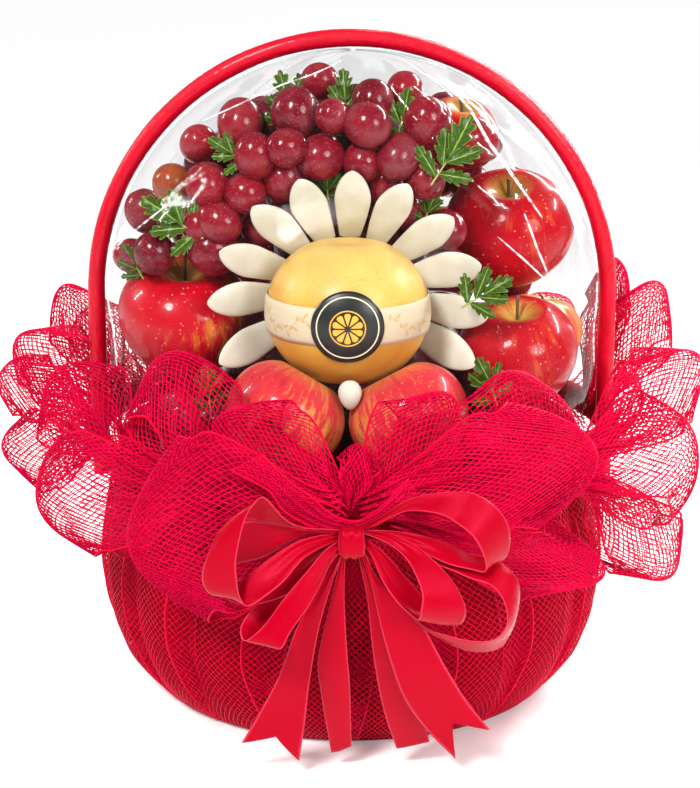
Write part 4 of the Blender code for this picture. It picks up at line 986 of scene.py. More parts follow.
sprig_draw = random.Random(23)
for number, (foot, pointing, length) in enumerate(SPRIGS):
    foot, up = Vector(foot), Vector(pointing).normalized()
    look = Vector((0, -1 if foot.y < 0.02 else 1, 0.25))
    across = up.cross(look).normalized()
    face = across.cross(up).normalized()
    points, faces, marks = [], [], []
    for rank, (degrees, share, root, broad) in enumerate(SPRIG_LEAVES):
        turn = math.radians(degrees + sprig_draw.uniform(-9, 9))
        nearer = 0.05 + 0.05 * rank + sprig_draw.uniform(-0.15, 0.15)
        along = (up * math.cos(turn) + across * math.sin(turn) + face * nearer).normalized()
        long = length * share * sprig_draw.uniform(0.92, 1.06) * (1 - 0.25 * root)
        start = foot + up * length * root * 0.62 + face * 0.0011 * rank
        tilt = (face + across * sprig_draw.uniform(-0.45, 0.45)).normalized()
        leaf, spots = leaf_points(start, along, tilt, long, long * broad, sprig_draw.uniform(0, 5))
        faces += grid_quads(LEAF_STEPS + 1, len(LEAF_EDGES), first=len(points))
        points += leaf
        marks += spots
    kinds, first = [0] * len(faces), len(points)
    for k in range(STEM_STEPS + 1):
        t = k / STEM_STEPS
        middle = foot + up * length * (-0.12 + 0.62 * t) + face * 0.002 * math.sin(2.5 * t)
        for side in range(STEM_SIDES):
            turn = math.tau * side / STEM_SIDES
            points.append(middle + (across * math.cos(turn) + face * math.sin(turn)) * (0.00075 - 0.0004 * t))
            marks.append((0.5, 0.5))
    faces += grid_quads(STEM_STEPS + 1, STEM_SIDES, wrap=True, first=first)
    kinds += [1] * (len(faces) - len(kinds))
    sprig = new_mesh(f"leaf_sprig_{number:02d}", points, faces, leaf_green, sprig_stem)
    sprig.data.polygons.foreach_set("material_index", kinds)
    mapped(sprig, marks)
    fitted(sprig, f"sprig_{number:02d}")


# ---- Handle ------------------------------------------------------------------------------------------------
# One hoop of cane, wound with glossy red ribbon whose turns show as fine slanting ridges. Its ends
# go down behind the ruff and are pushed into the basket's rim.
HANDLE_TOP, HANDLE_REACH, HANDLE_TUBE, HANDLE_FOOT = 0.470, 0.182, 0.0062, 0.150
HANDLE_STEPS, HANDLE_SIDES = 420, 20
WINDINGS = 0.0075                       # from one turn of the ribbon to the next

handle_ribbon, handle_shader, handle_tree = shader_of(
    "handle_ribbon", (0.56, 0.001, 0.016), 0.30, Coat_Weight=0.20, Coat_Roughness=0.10, Specular_IOR_Level=0.15
)
crinkle = node(handle_tree, "TexNoise", in_Scale=260.0, in_Detail=3.0).outputs[0]
long_wear = node(handle_tree, "TexNoise", in_Scale=35.0, in_Detail=2.0).outputs[0]
handle_red = ramp(
    handle_tree, long_wear, (0.32, (0.46, 0.0006, 0.010)), (0.55, (0.58, 0.001, 0.018)), (0.75, (0.68, 0.003, 0.030))
)
handle_tree.links.new(handle_red, handle_shader.inputs["Base Color"])
bumped(handle_tree, handle_shader, crinkle, 0.0005, 0.45)

springline = HANDLE_TOP - HANDLE_TUBE - HANDLE_REACH
leg = springline - HANDLE_FOOT
whole = 2 * leg + math.pi * HANDLE_REACH
points = []
for i in range(HANDLE_STEPS + 1):
    run = whole * i / HANDLE_STEPS
    if run < leg:
        at, along = Vector((HANDLE_REACH, 0, HANDLE_FOOT + run)), Vector((0, 0, 1))
    elif run > whole - leg:
        at, along = Vector((-HANDLE_REACH, 0, HANDLE_FOOT + whole - run)), Vector((0, 0, -1))
    else:
        turn = (run - leg) / HANDLE_REACH
        at = Vector((HANDLE_REACH * math.cos(turn), 0, springline + HANDLE_REACH * math.sin(turn)))
        along = Vector((-math.sin(turn), 0, math.cos(turn)))
    across = along.cross(Vector((0, 1, 0)))
    for k in range(HANDLE_SIDES):
        turn = math.tau * k / HANDLE_SIDES
        wound = (run / WINDINGS + 0.5 * math.sin(turn)) % 1.0
        groove = 0.00022 * math.exp(-((min(wound, 1 - wound) / 0.10) ** 2))
        tube = HANDLE_TUBE - groove + 0.0001 * math.sin(run * 90 + 2 * math.sin(turn))
        points.append(at + tube * (across * math.cos(turn) + Vector((0, math.sin(turn), 0))))
faces = grid_quads(HANDLE_STEPS + 1, HANDLE_SIDES, wrap=True)
faces += [tuple(range(HANDLE_SIDES)), tuple(range(HANDLE_STEPS * HANDLE_SIDES, len(points)))]
fitted(new_mesh("wound_handle", points, faces, handle_ribbon), "handle")


# ---- Film --------------------------------------------------------------------------------------------------
# Clear film, drawn up from the rim on both sides over the fruit and pulled tight. It creases where
# it goes round the handle, and long soft folds run down from the top.
FILM_LOW_ROWS, FILM_HIGH_ROWS, FILM_SIDES = 34, 70, 248
FILM_FOOT, FILM_SLACK = 0.1885, 0.0006
# where a fold starts and ends, as (angle in degrees from +X, height), how high it stands, half width
FOLDS = (
    ((-74, 0.449), (-36, 0.318), 0.0030, 0.0040),
    ((-60, 0.446), (-22, 0.330), 0.0018, 0.0028),
    ((-112, 0.448), (-146, 0.372), 0.0020, 0.0026),
    ((-168, 0.330), (-142, 0.372), 0.0022, 0.0024),
    ((-30, 0.300), (-12, 0.230), 0.0016, 0.0022),
    ((-160, 0.290), (-172, 0.215), 0.0016, 0.0022),
    ((70, 0.448), (40, 0.300), 0.0026, 0.0035),
    ((110, 0.446), (150, 0.320), 0.0024, 0.0032),
    ((88, 0.430), (96, 0.250), 0.0018, 0.0026),
)

clear_film = bpy.data.materials.new("clear_film")
clear_film.use_nodes = True
film_tree = clear_film.node_tree
film_tree.nodes.clear()
see_through = node(film_tree, "BsdfTransparent", in_0=(0.925, 0.930, 0.930, 1))
film_haze = node(film_tree, "BsdfDiffuse", in_0=(0.95, 0.96, 0.97, 1))
hazy = node(film_tree, "MixShader", in_0=0.002, in_1=see_through.outputs[0], in_2=film_haze.outputs[0])
film_ripple = node(film_tree, "TexNoise", in_Scale=24.0, in_Detail=3.0, in_Distortion=0.6)
film_bump = node(film_tree, "Bump", in_Strength=0.16, in_Distance=0.0016, in_Height=film_ripple.outputs[0])
film_gloss = node(film_tree, "BsdfGlossy", in_Roughness=0.06, in_Normal=film_bump.outputs[0])
# It mirrors a little more towards its edges, but never much.
film_edge = node(film_tree, "Fresnel", in_IOR=1.24)
film_dimmed = node(film_tree, "Math", operation="MULTIPLY", in_0=film_edge.outputs[0], in_1=0.4)
film_mirror = node(film_tree, "Math", operation="MINIMUM", in_0=film_dimmed.outputs[0], in_1=0.12)
film_mix = node(
    film_tree, "MixShader", in_0=film_mirror.outputs[0], in_1=hazy.outputs[0], in_2=film_gloss.outputs[0]
)
node(film_tree, "OutputMaterial", in_0=film_mix.outputs[0])


def film_lift(angle, height):
    """How far the film stands out from its dome, over the folds and the creases at the handle."""
    lift = 0.0007 * math.sin(9 * angle + 4 * math.sin(3 * angle) + 30 * height)
    for (a0, z0), (a1, z1), tall, wide in FOLDS:
        t = (height - z0) / (z1 - z0)
        if -0.05 < t < 1.05:
            bend = math.radians(a0 + (a1 - a0) * t ** 1.3 if t > 0 else a0)
            reach = max(0.05, dome_point(0, height).x)
            apart = math.remainder(angle - bend, math.tau) * reach
            fade = smooth_step((t + 0.05) / 0.2) * smooth_step((1.05 - t) / 0.3)
            lift += tall * fade * math.exp(-((apart / wide) ** 2))
    # Near the handle's legs the film is bunched into short creases that fan out from it.
    beside = min(abs(math.remainder(angle, math.tau)), abs(math.remainder(angle - math.pi, math.tau)))
    bunch = smooth_step(1 - beside / 0.55) * smooth_step((0.350 - height) / 0.08)
    lift += 0.0024 * bunch * math.sin(70 * height + 9 * beside) * math.cos(4 * beside)
    foot = smooth_step((0.225 - height) / 0.035)
    return lift + 0.0016 * foot * math.sin(46 * angle + 3 * math.sin(5 * angle))


def off_dome(at):
    """The way straight out of the dome at a point of it."""
    rise = max(0, at.z - DOME_CENTRE)
    return Vector((at.x / DOME_WIDE ** 2, at.y / DOME_DEEP ** 2, rise / DOME_TALL ** 2)).normalized()


heights = [FILM_FOOT + (DOME_CENTRE - FILM_FOOT) * k / FILM_LOW_ROWS for k in range(FILM_LOW_ROWS)]
heights += [DOME_CENTRE + DOME_TALL * math.sin(math.pi / 2 * k / (FILM_HIGH_ROWS - 1)) for k in range(FILM_HIGH_ROWS)]
points = []
for height in heights:
    for k in range(FILM_SIDES):
        angle = math.tau * k / FILM_SIDES
        at = dome_point(angle, min(height, DOME_CENTRE + DOME_TALL - 0.00002))
        points.append(at + off_dome(at) * (film_lift(angle, height) - FILM_SLACK))
film = new_mesh("clear_film_cover", points, grid_quads(len(heights), FILM_SIDES, wrap=True), clear_film)
fitted(film, "film")

# Taut creases run over the fruit. Along each lies a narrow strip painted white in patches: a painted highlight where
# the film would catch the light.
# (angle in degrees from +X, height) along each, and its width
CREASES = (
    (((-33, 0.443), (-39, 0.430), (-44, 0.405), (-42.5, 0.390), (-41, 0.3745), (-37, 0.352)), 0.0034),
    (((-43.7, 0.360), (-42.7, 0.337), (-39.5, 0.310)), 0.0016),
    (((-54.5, 0.349), (-47, 0.330), (-39, 0.309)), 0.0014),
    (((-24, 0.409), (-19, 0.376), (-13, 0.359), (-8, 0.332), (-4, 0.298)), 0.0026),
    (((-10, 0.436), (-19.5, 0.412), (-16, 0.385)), 0.0016),
    (((-168, 0.318), (-152, 0.344), (-140, 0.367)), 0.0015),
    (((-100, 0.452), (-128, 0.438), (-152, 0.412)), 0.0014),
    (((-170, 0.300), (-160, 0.270), (-158, 0.245)), 0.0018),
    (((-11, 0.300), (-17, 0.268), (-15, 0.240)), 0.0020),
    (((60, 0.444), (48, 0.400), (42, 0.340)), 0.0022),
    (((122, 0.442), (134, 0.396), (140, 0.330)), 0.0022),
)
CREASE_STEPS, CREASE_SOFT = 48, 3       # steps along one, and how many on either side soften a bend
CREASE_SECTION = ((-1, 0.0006), (-0.25, 0.0016), (0.35, 0.0013), (1, 0.0006))   # across it, off the dome
# Painted highlight: white and diffuse with a patchy alpha, so the creases look bright under any lamp.
painted_crease_glare, crease_shader, crease_tree = shader_of("painted_crease_glare", (0.96, 0.97, 0.98), 0.12)
crease_cloud = node(crease_tree, "TexNoise", in_Scale=60.0, in_Detail=2.0).outputs[0]
crease_tree.links.new(ramp(crease_tree, crease_cloud, (0.35, 0.16), (0.62, 0.85)), crease_shader.inputs["Alpha"])
softer = np.ones(2 * CREASE_SOFT + 1) / (2 * CREASE_SOFT + 1)
points, faces = [], []
for path, wide in CREASES:
    path = np.array(path)
    places = np.linspace(0, len(path) - 1, CREASE_STEPS + 1)
    bends = [np.interp(places, range(len(path)), path[:, column]) for column in (0, 1)]
    bends = [np.convolve(np.pad(bend, CREASE_SOFT, mode="edge"), softer, mode="valid") for bend in bends]
    middle = [dome_point(math.radians(a), h) for a, h in zip(*bends)]
    faces += grid_quads(CREASE_STEPS + 1, len(CREASE_SECTION), first=len(points))
    for k, at in enumerate(middle):
        outward = off_dome(at)
        run = (middle[min(k + 1, CREASE_STEPS)] - middle[max(k - 1, 0)]).normalized()
        side = run.cross(outward)
        half = wide / 2 * math.sin(math.pi * (k + 0.5) / (CREASE_STEPS + 1)) ** 0.8
        points += [at + side * half * e + outward * lift for e, lift in CREASE_SECTION]
fitted(new_mesh("film_crease_glare", points, faces, painted_crease_glare))


# ---- Ruff --------------------------------------------------------------------------------------------------
# Wide net ribbon with rolled hems, folded into loops that are tied to a gathered cord round the
# rim. The net opens in the middle of a loop, bunches into pleats at its foot, and its hems ripple.

# foot, tip, axis across the ribbon, gap between the layers, width and slide, in millimetres
RUFF_LOOPS = (
    # left side, from the top down
    ((-174, 60, 194), (-212, 62, 276), (-0.65, -0.57, -0.50), 30, 47, 0),
    ((-180, 24, 192), (-238, 12, 250), (-0.52, 0.12, -0.84), 34, 61, 8),
    ((-183, -12, 190), (-252, -5, 229), (-0.30, -0.49, -0.82), 28, 44, -6),
    ((-176, -54, 188), (-244, -50, 179), (0.12, 0.00, -0.99), 34, 56, 10),
    ((-152, -104, 187), (-203, -85, 248), (-0.54, -0.53, -0.65), 34, 57, 6),
    ((-100, -155, 186), (-211, -125, 170), (0.14, 0.08, -0.99), 44, 87, 16),
    ((-88, -162, 187), (-124, -140, 272), (-0.86, -0.36, -0.35), 36, 63, 8),
    # front, behind the bow
    ((-8, -190, 182), (-143, -200, 166), (0.08, 0.00, -1.00), 40, 120, 14),
    ((-2, -188, 184), (-86, -178, 242), (-0.55, -0.46, -0.70), 34, 54, 6),
    ((-1, -190, 184), (6, -196, 228), (-0.99, 0.04, 0.15), 14, 21, 0),
    ((8, -188, 183), (64, -176, 253), (-0.76, 0.40, 0.51), 32, 54, -6),
    ((6, -190, 184), (156, -194, 225), (-0.29, -0.01, 0.96), 38, 79, -12),
    ((92, -160, 190), (117, -146, 261), (-0.89, 0.34, 0.29), 32, 68, -6),
    ((28, -188, 176), (164, -174, 133), (0.19, 0.00, 0.98), 26, 45, 6),
    # right side, from the top down
    ((176, 60, 194), (196, 62, 297), (-0.89, 0.40, 0.21), 22, 30, 0),
    ((180, 30, 192), (223, 30, 283), (-0.82, 0.45, 0.37), 30, 48, -6),
    ((160, -92, 190), (236, -75, 256), (-0.52, -0.04, 0.85), 36, 63, -8),
    ((140, -122, 184), (236, -98, 196), (-0.19, 0.49, 0.85), 40, 75, -10),
    ((163, -102, 178), (220, -77, 98), (0.57, -0.03, 0.82), 28, 58, -8),
    # back
    ((-158, 98, 190), (-206, 126, 240), (-0.40, -0.65, -0.30), 34, 58, 8),
    ((-136, 126, 184), (-190, 164, 160), (-0.50, 0.10, -0.90), 36, 72, -8),
    ((-84, 164, 190), (-104, 196, 250), (-0.90, -0.30, 0.10), 36, 66, 8),
    ((-30, 182, 184), (-46, 236, 170), (-0.80, -0.20, 0.55), 40, 84, -8),
    ((30, 182, 190), (36, 206, 254), (-1.00, 0.10, 0.10), 36, 66, 8),
    ((84, 164, 184), (116, 212, 162), (0.80, -0.40, 0.55), 40, 82, -8),
    ((130, 130, 190), (162, 158, 248), (0.70, -0.65, 0.10), 36, 62, 8),
    ((160, 92, 184), (220, 110, 168), (0.30, -0.30, 0.90), 36, 70, -8),
)
LOOP_CURL = 0.32                        # how far a loop's hems curl back from its tip
LOOP_GATHER = 0.25                      # how much of its width is left at the foot
LOOP_STEPS, LOOP_COLUMNS = 96, 32
PLEAT = 17                              # one pleat to so many millimetres of width
BACK_FROM = 62                          # loops whose foot lies further back have the wider net


def pleated_loop(foot, tip, axis, opening, width, slide, seed):
    """A ribbon bent into a loop, as an array (along, across, 3), with pleats that fan out from its foot,
    a soft swell and rippled hems."""
    foot, tip = np.array(foot) / 1000, np.array(tip) / 1000
    opening, broad, slide = opening / 1000, width / 1000, slide / 1000
    length = np.linalg.norm(tip - foot)
    along = (tip - foot) / length
    axis = np.array(axis, dtype=float)
    axis = axis - along * axis.dot(along)
    axis /= np.linalg.norm(axis)
    across = np.cross(axis, along)
    places = (np.linspace(0, 1, LOOP_STEPS + 1), np.linspace(-0.5, 0.5, LOOP_COLUMNS + 1))
    share, edge = np.meshgrid(*places, indexing="ij")
    bulge = (1 - np.cos(math.tau * share)) / 2
    u = length * (1 - LOOP_CURL * (2 * edge) ** 2 * bulge) * bulge
    v = opening / 2 * np.sin(math.tau * share) * (0.25 + 0.75 * bulge) / 0.71
    t = np.clip(1.7 * u / length, 0, 1)
    reach = LOOP_GATHER + (1 - LOOP_GATHER) * t * t * (3 - 2 * t)
    aside = edge * broad * reach + slide * np.sin(math.tau * share) * bulge
    grid = foot + u[..., None] * along + v[..., None] * across + aside[..., None] * axis

    draw = np.random.default_rng(seed)
    near = np.clip(1 - bulge / 0.75, 0, 1)
    pleats = max(2, round(width / PLEAT)) * (edge + 0.06 * np.sin(3 * math.tau * share))
    wave = 0.0030 * near ** 0.7 * np.sin(math.tau * pleats + draw.uniform(0, 6))
    wave += 0.0016 * bulge * np.sin(math.tau * (1.4 * edge + 1.7 * share) + draw.uniform(0, 6))
    beats = math.tau * (3 + draw.uniform(0, 1.5)) * share
    ripple = 0.0036 * (2 * np.abs(edge)) ** 3 * bulge * np.sin(beats + np.sign(edge) * draw.uniform(0, 3))
    normal = unit(np.cross(np.gradient(grid, axis=0), np.gradient(grid, axis=1)))
    return grid + normal * (wave + ripple)[..., None]


def outside_body(grid, spare=0.0016):
    """Presses points out of the film's dome and of the wall."""
    height = grid[..., 2]
    angle, out = np.arctan2(grid[..., 1], grid[..., 0]), np.hypot(grid[..., 0], grid[..., 1])
    rise = np.clip((height - DOME_CENTRE) / DOME_TALL, 0, 1)
    t = np.clip((0.235 - height) / 0.05, 0, 1)
    tuck = 1 - DOME_TUCK * t * t * (3 - 2 * t)
    round_it = np.sqrt((np.cos(angle) / DOME_WIDE) ** 2 + (np.sin(angle) / DOME_DEEP) ** 2)
    dome = tuck * np.sqrt(1 - rise * rise) / round_it
    wall = np.interp(height, WALL_HEIGHTS, WALL_RADII) + 0.006
    need = np.where(height > RIM, dome, wall) + spare
    grid = grid.copy()
    grid[..., :2] *= np.maximum(1, need / np.maximum(out, 1e-6))[..., None]
    return grid


for number, row in enumerate(RUFF_LOOPS):
    net_piece(
        f"net_loop_{number:02d}", outside_body(pleated_loop(*row, 40 + number)), (net_thread, net_hem),
        300 + number, cell=CELL if row[0][1] < BACK_FROM else BACK_CELL,
        stands_for=None if number else "ruff",
    )

gathered_net = grained(
    "gathered_net", (0.45, 0.002, 0.030), 0.6, 500.0, (0.35, (0.26, 0.0004, 0.012)), (0.6, (0.60, 0.0008, 0.040)),
    bump=0.0008, Specular_IOR_Level=0.05,
)
CORD_RADIUS, CORD_HEIGHT = 0.1845, 0.187
CORD_WIDE, CORD_TALL = 0.0078, 0.0092
CORD_STEPS, CORD_SIDES, CORD_BEAT = 620, 14, 5.1
points = []
for i in range(CORD_STEPS):
    turn = math.tau * i / CORD_STEPS
    for k in range(CORD_SIDES):
        a = math.tau * k / CORD_SIDES
        gather = 1 + 0.10 * math.sin(math.tau * i / CORD_BEAT + 0.7 * math.sin(a))
        r = CORD_RADIUS + CORD_WIDE * gather * math.cos(a)
        points.append((r * math.cos(turn), r * math.sin(turn), CORD_HEIGHT + CORD_TALL * gather * math.sin(a)))
faces = [
    tuple((i + a) % CORD_STEPS * CORD_SIDES + (k + b) % CORD_SIDES for a, b in ((0, 0), (0, 1), (1, 1), (1, 0)))
    for i in range(CORD_STEPS)
    for k in range(CORD_SIDES)
]
fitted(new_mesh("gathered_cord", points, faces, gathered_net))


# ---- Bow ---------------------------------------------------------------------------------------------------
# Satin ribbon tied in a bow over the middle of the ruff: six loops of uneven size, two tails cut
# to a V that hang to the base, and two plain ends behind them. A short turn of ribbon makes the knot.

# Each ribbon is drawn by its two edges, from end to end: its name, how deep a V is cut in its end,
# and rows that hold a point on the one edge and the point across from it on the other. A point is
# right of the knot, above it and nearer than it, in bow units, as one looks from the camera.
BOW_RIBBONS = (
    ("bow_loop_0", 0.0, (
        (-6, 6, -3, -6, 8, -1), (-22, 7, 0, -21, 9, 5), (-37, 10, 3, -34, 10, 11),
        (-58, 14, 7, -46, 16, 17), (-72, 16, 11, -60, 31, 22), (-84, 15, 14, -68, 26, 26),
        (-92, 6, 16, -74, 15, 27), (-99, -9, 17, -78, -1, 28), (-103, -23, 17, -80, -15, 28),
        (-100, -33, 16, -79, -28, 28), (-92, -37, 15, -77, -38, 28), (-84, -34, 13, -71, -44, 27),
        (-74, -26, 11, -58, -36, 24), (-61, -15, 8, -46, -26, 19), (-42, -2, 4, -34, -12, 12),
        (-25, 4, 0, -21, -4, 6), (-6, 6, -3, -6, 2, 0),
    )),
    ("bow_loop_1", 0.0, (
        (-6, 3, 0, -6, -4, 0), (-18, -5, 8, -14, -14, 7), (-30, -19, 15, -21, -29, 15),
        (-46, -38, 22, -30, -45, 23), (-60, -57, 27, -42, -62, 29), (-70, -66, 28, -47, -72, 31),
        (-75, -67, 24, -50, -74, 27), (-77, -61, 18, -52, -71, 18), (-74, -53, 11, -51, -62, 10),
        (-65, -42, 5, -44, -50, 5), (-46, -24, 1, -32, -33, 1), (-25, -5, -2, -18, -10, -2),
        (-6, 4, -3, -6, 0, -3),
    )),
    ("bow_loop_2", 0.0, (
        (6, 9, -2, 6, 7, -1), (21, 19, 3, 23, 15, 6), (35, 28, 7, 37, 21, 13), (51, 33, 11, 51, 21, 19),
        (68, 35, 14, 64, 18, 24), (84, 34, 16, 74, 12, 28), (99, 25, 16, 84, 4, 30),
        (108, 12, 15, 90, -6, 30), (109, -2, 14, 93, -15, 29), (104, -12, 12, 92, -21, 27),
        (90, -12, 9, 82, -19, 23), (75, -5, 6, 66, -15, 18), (54, 3, 3, 46, -6, 11), (32, 7, 0, 27, 2, 4),
        (6, 8, -3, 6, 6, -2),
    )),
    ("bow_loop_3", 0.0, (
        (6, 7, 1, 6, 8, 1), (21, 1, 8, 28, 6, 7), (32, -6, 15, 44, -2, 13), (40, -15, 22, 58, -14, 18),
        (46, -27, 28, 69, -26, 22), (49, -37, 32, 76, -38, 24), (48, -47, 33, 79, -47, 24),
        (46, -54, 28, 76, -56, 19), (40, -50, 21, 68, -56, 13), (31, -41, 16, 56, -45, 9),
        (21, -26, 10, 39, -26, 5), (14, -9, 4, 23, -8, 1), (6, 3, -1, 6, 5, -3),
    )),
    ("bow_loop_4", 0.0, (
        (6, 4, -3, 6, 6, -3), (33, -5, 2, 37, 3, -1), (51, -13, 9, 58, -3, 2), (68, -19, 16, 77, -8, 5),
        (82, -25, 21, 94, -11, 8), (95, -29, 24, 105, -16, 10), (104, -38, 25, 114, -25, 11),
        (108, -52, 26, 116, -37, 12), (105, -62, 26, 114, -52, 13), (96, -68, 25, 109, -65, 13),
        (83, -68, 22, 101, -74, 13), (66, -64, 17, 84, -76, 11), (51, -58, 11, 66, -70, 8),
        (37, -45, 5, 47, -58, 4), (23, -24, 1, 28, -33, 0), (6, 0, -3, 6, -2, -3),
    )),
    ("bow_loop_5", 0.0, (
        (-6, 6, -4, -6, 6, -4), (-34, 9, -2, -32, 5, -5), (-58, 13, 2, -58, -9, -4),
        (-73, 14, 6, -75, -14, -2), (-84, 7, 9, -89, -18, 2), (-89, -5, 11, -92, -28, 6),
        (-87, -19, 11, -89, -36, 8), (-79, -26, 9, -80, -42, 9), (-63, -22, 5, -65, -43, 8),
        (-46, -12, 2, -42, -35, 5), (-29, -2, -1, -25, -18, 1), (-6, 5, -4, -6, 1, -3),
    )),
    ("bow_tail_0", 0.014, (
        (-7, -5, 1, -6, -8, 1), (-25, -36, -2, -15, -33, 0), (-39, -62, -6, -23, -62, -4),
        (-49, -90, -14, -29, -97, -12), (-63, -117, -23, -32, -124, -21), (-76, -139, -30, -36, -151, -30),
    )),
    ("bow_tail_1", 0.024, (
        (6, -6, 2, 6, 0, 1), (14, -31, 0, 20, -28, 1), (23, -69, -5, 47, -55, -3),
        (35, -105, -14, 65, -86, -10), (51, -129, -24, 80, -110, -20), (72, -150, -31, 96, -130, -28),
    )),
    ("bow_end_0", 0.0, (
        (-6, -4, -2, -4, -5, -2), (-14, -40, -8, -5, -36, -6), (-23, -79, -16, -3, -75, -14),
        (-21, -105, -25, -1, -100, -23), (-14, -145, -44, 0, -141, -42),
    )),
    ("bow_end_1", 0.0, (
        (4, -4, -2, 6, -5, -2), (11, -40, -8, 20, -38, -7), (14, -70, -14, 32, -68, -13),
        (18, -97, -24, 41, -95, -22), (23, -119, -34, 48, -117, -32), (31, -142, -46, 54, -138, -44),
    )),
)
BOW_UNIT = 0.00091
KNOT_AT = Vector((-0.0005, -0.2240, 0.1724))
KNOT_HALF = (0.0084, 0.0070, 0.0104)
KNOT_STEPS, KNOT_COLUMNS = 48, 12
SATIN = 0.0005
RIBBON_STEPS, RIBBON_COLUMNS = 110, 14

rose_satin, satin_shader, satin_tree = shader_of(
    "rose_satin", (0.50, 0.0006, 0.014), 0.25,
    Anisotropic=0.6, Specular_IOR_Level=0.36, Specular_Tint=(1, 0.08, 0.20, 1),
)
satin_map = node(satin_tree, "UVMap").outputs[0]
satin_edge = node(satin_tree, "SeparateXYZ", in_0=satin_map).outputs[1]
satin_stretch = node(satin_tree, "Mapping", in_0=satin_map, in_Scale=(8.0, 90.0, 1.0)).outputs[0]
satin_weave_and_painted_sheen = node(satin_tree, "TexNoise", in_Vector=satin_stretch, in_Scale=6.0, in_Detail=3.0).outputs[0]
# The weave noise makes the bump and also paints lighter and darker streaks along the ribbon: painted sheen.
satin_ground = ramp(satin_tree, satin_weave_and_painted_sheen, (0.35, (0.34, 0.0001, 0.007)), (0.65, (0.41, 0.0002, 0.012)))
selvedge = ramp(satin_tree, satin_edge, (0.90, 0), (0.96, 0.55))
satin_tree.links.new(mixed(satin_tree, selvedge, satin_ground, (0.72, 0.05, 0.11)), satin_shader.inputs["Base Color"])
bumped(satin_tree, satin_shader, satin_weave_and_painted_sheen, 0.0002, 0.35)


def ribbon_piece(name, grid, stands_for=None):
    """A satin ribbon over a grid of points, mapped (along, how near an edge) and given its thickness."""
    rows, columns = grid.shape[:2]
    ribbon = new_mesh(name, grid.reshape(-1, 3).tolist(), grid_quads(rows, columns), rose_satin)
    mapped(ribbon, [(i / (rows - 1), abs(2 * j / (columns - 1) - 1)) for i in range(rows) for j in range(columns)])
    thickened(ribbon, SATIN, 0)
    fitted(ribbon, stands_for)


def smooth_path(path, count):
    """Points evenly along a smooth curve through the given ones."""
    path = np.array(path, dtype=float)
    padded = np.vstack([2 * path[0] - path[1], path, 2 * path[-1] - path[-2]])
    made = []
    for share in np.linspace(0, len(path) - 1, count):
        k = min(int(share), len(path) - 2)
        t = share - k
        a, b, c, d = padded[k:k + 4]
        bent = (c - a) * t + (2 * a - 5 * b + 4 * c - d) * t * t + (3 * b - 3 * c + d - a) * t ** 3
        made.append(0.5 * (2 * b + bent))
    return np.array(made)


def bow_point(across, up, nearer):
    """A point right of and above the knot as one looks at the bow, and nearer the front than it."""
    seen = KNOT_AT + (camera_right * across + camera_up * up) * BOW_UNIT - camera_at
    return camera_at + seen * ((KNOT_AT.y - nearer * BOW_UNIT - camera_at.y) / seen.y)


def ruled(rows, steps, columns):
    """The two edges that a table gives, and the grid of points between them."""
    edges = smooth_path(rows, steps + 1)
    first, second = (np.array([bow_point(*at) for at in half.tolist()]) for half in (edges[:, :3], edges[:, 3:]))
    share = np.linspace(0, 1, columns + 1)[None, :, None]
    return first, second, first[:, None, :] * (1 - share) + second[:, None, :] * share


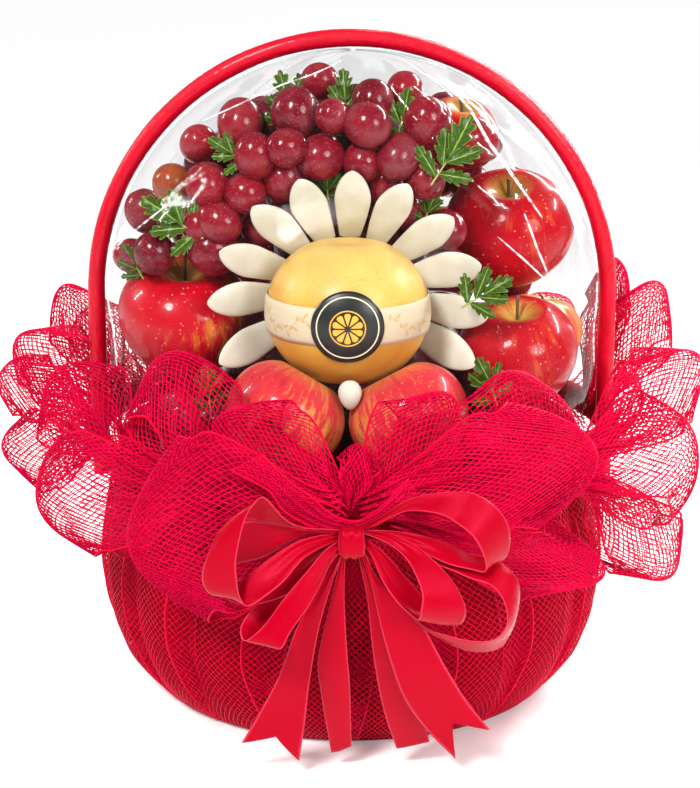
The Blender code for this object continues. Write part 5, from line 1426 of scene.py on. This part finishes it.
# In front the loops run together in one folded band of net, which dips behind the knot of the bow.
BAND_EDGES = (
    (-64, 62, -6, -84, 50, -6), (-42, 41, -4, -58, 36, -3), (-28, 31, -4, -48, 23, -2), (-18, 22, -6, -36, 15, -3),
    (-8, 16, -8, -21, 9, -5), (4, 14, -9, -4, 7, -7), (14, 19, -8, 12, 10, -6), (24, 27, -6, 24, 16, -4),
    (40, 44, -6, 48, 31, -5),
)
NET_BAND_STEPS, NET_BAND_COLUMNS, NET_BAND_CELL = 60, 16, 0.0014
*_, band_grid = ruled(BAND_EDGES, NET_BAND_STEPS, NET_BAND_COLUMNS)
e = np.linspace(0, 1, NET_BAND_COLUMNS + 1)[None, :]
t = np.linspace(0, 1, NET_BAND_STEPS + 1)[:, None]
band_grid[..., 1] += 0.0013 * np.sin(math.tau * 3.5 * e + 2 * t)
net_piece(
    "net_band", band_grid, (net_thread, net_hem), 700,
    cell=NET_BAND_CELL, thread=WALL_THREAD,
)

# The knot is a short turn of ribbon, pinched into creases that run across it.
points = []
for i in range(KNOT_STEPS + 1):
    turn = math.tau * i / KNOT_STEPS
    c, s = squared(turn, 0.8, 0.8)
    for j in range(KNOT_COLUMNS + 1):
        e = 2 * j / KNOT_COLUMNS - 1
        crease = 1 + 0.07 * math.sin(2.6 * math.pi * e + 0.6 * math.sin(turn))
        crease *= 1 - 0.20 * e ** 4
        half = (e * (1 - 0.10 * abs(math.sin(turn))), c * crease, s * crease)
        points.append(KNOT_AT + Vector([size * share for size, share in zip(KNOT_HALF, half)]))
knot_grid = np.array(points).reshape(KNOT_STEPS + 1, KNOT_COLUMNS + 1, 3)
knot_flat = (2 * KNOT_HALF[0], float(runs_of(knot_grid, 0).mean()))
ribbon_piece("bow_knot", knot_grid, "bow")

e = np.linspace(-1, 1, RIBBON_COLUMNS + 1)[None, :]
t = np.linspace(0, 1, RIBBON_STEPS + 1)[:, None]
for number, (name, notch, rows) in enumerate(BOW_RIBBONS):
    first, second, grid = ruled(rows, RIBBON_STEPS, RIBBON_COLUMNS)
    run = unit(np.gradient(grid, axis=0))
    normal = unit(np.cross(run, np.broadcast_to((second - first)[:, None, :], grid.shape)))
    looped = "loop" in name
    pinch = np.clip(1 - t / 0.22, 0, 1) + (np.clip((t - 0.78) / 0.22, 0, 1) if looped else 0)
    swell = 0.0011 * pinch * np.sin(math.tau * e + number) + 0.0007 * (1 - pinch) * (1 - e * e)
    swell = swell + 0.0005 * np.sin(7 * t + 2 * e + number)
    back = notch * (1 - np.abs(e)) * np.clip((t - 0.75) / 0.25, 0, 1)
    grid = grid + normal * swell[..., None] - run * back[..., None]
    width, length = float(np.linalg.norm(second - first, axis=1).mean()), float(runs_of(grid, 0).mean())
    ribbon_piece(name, grid)
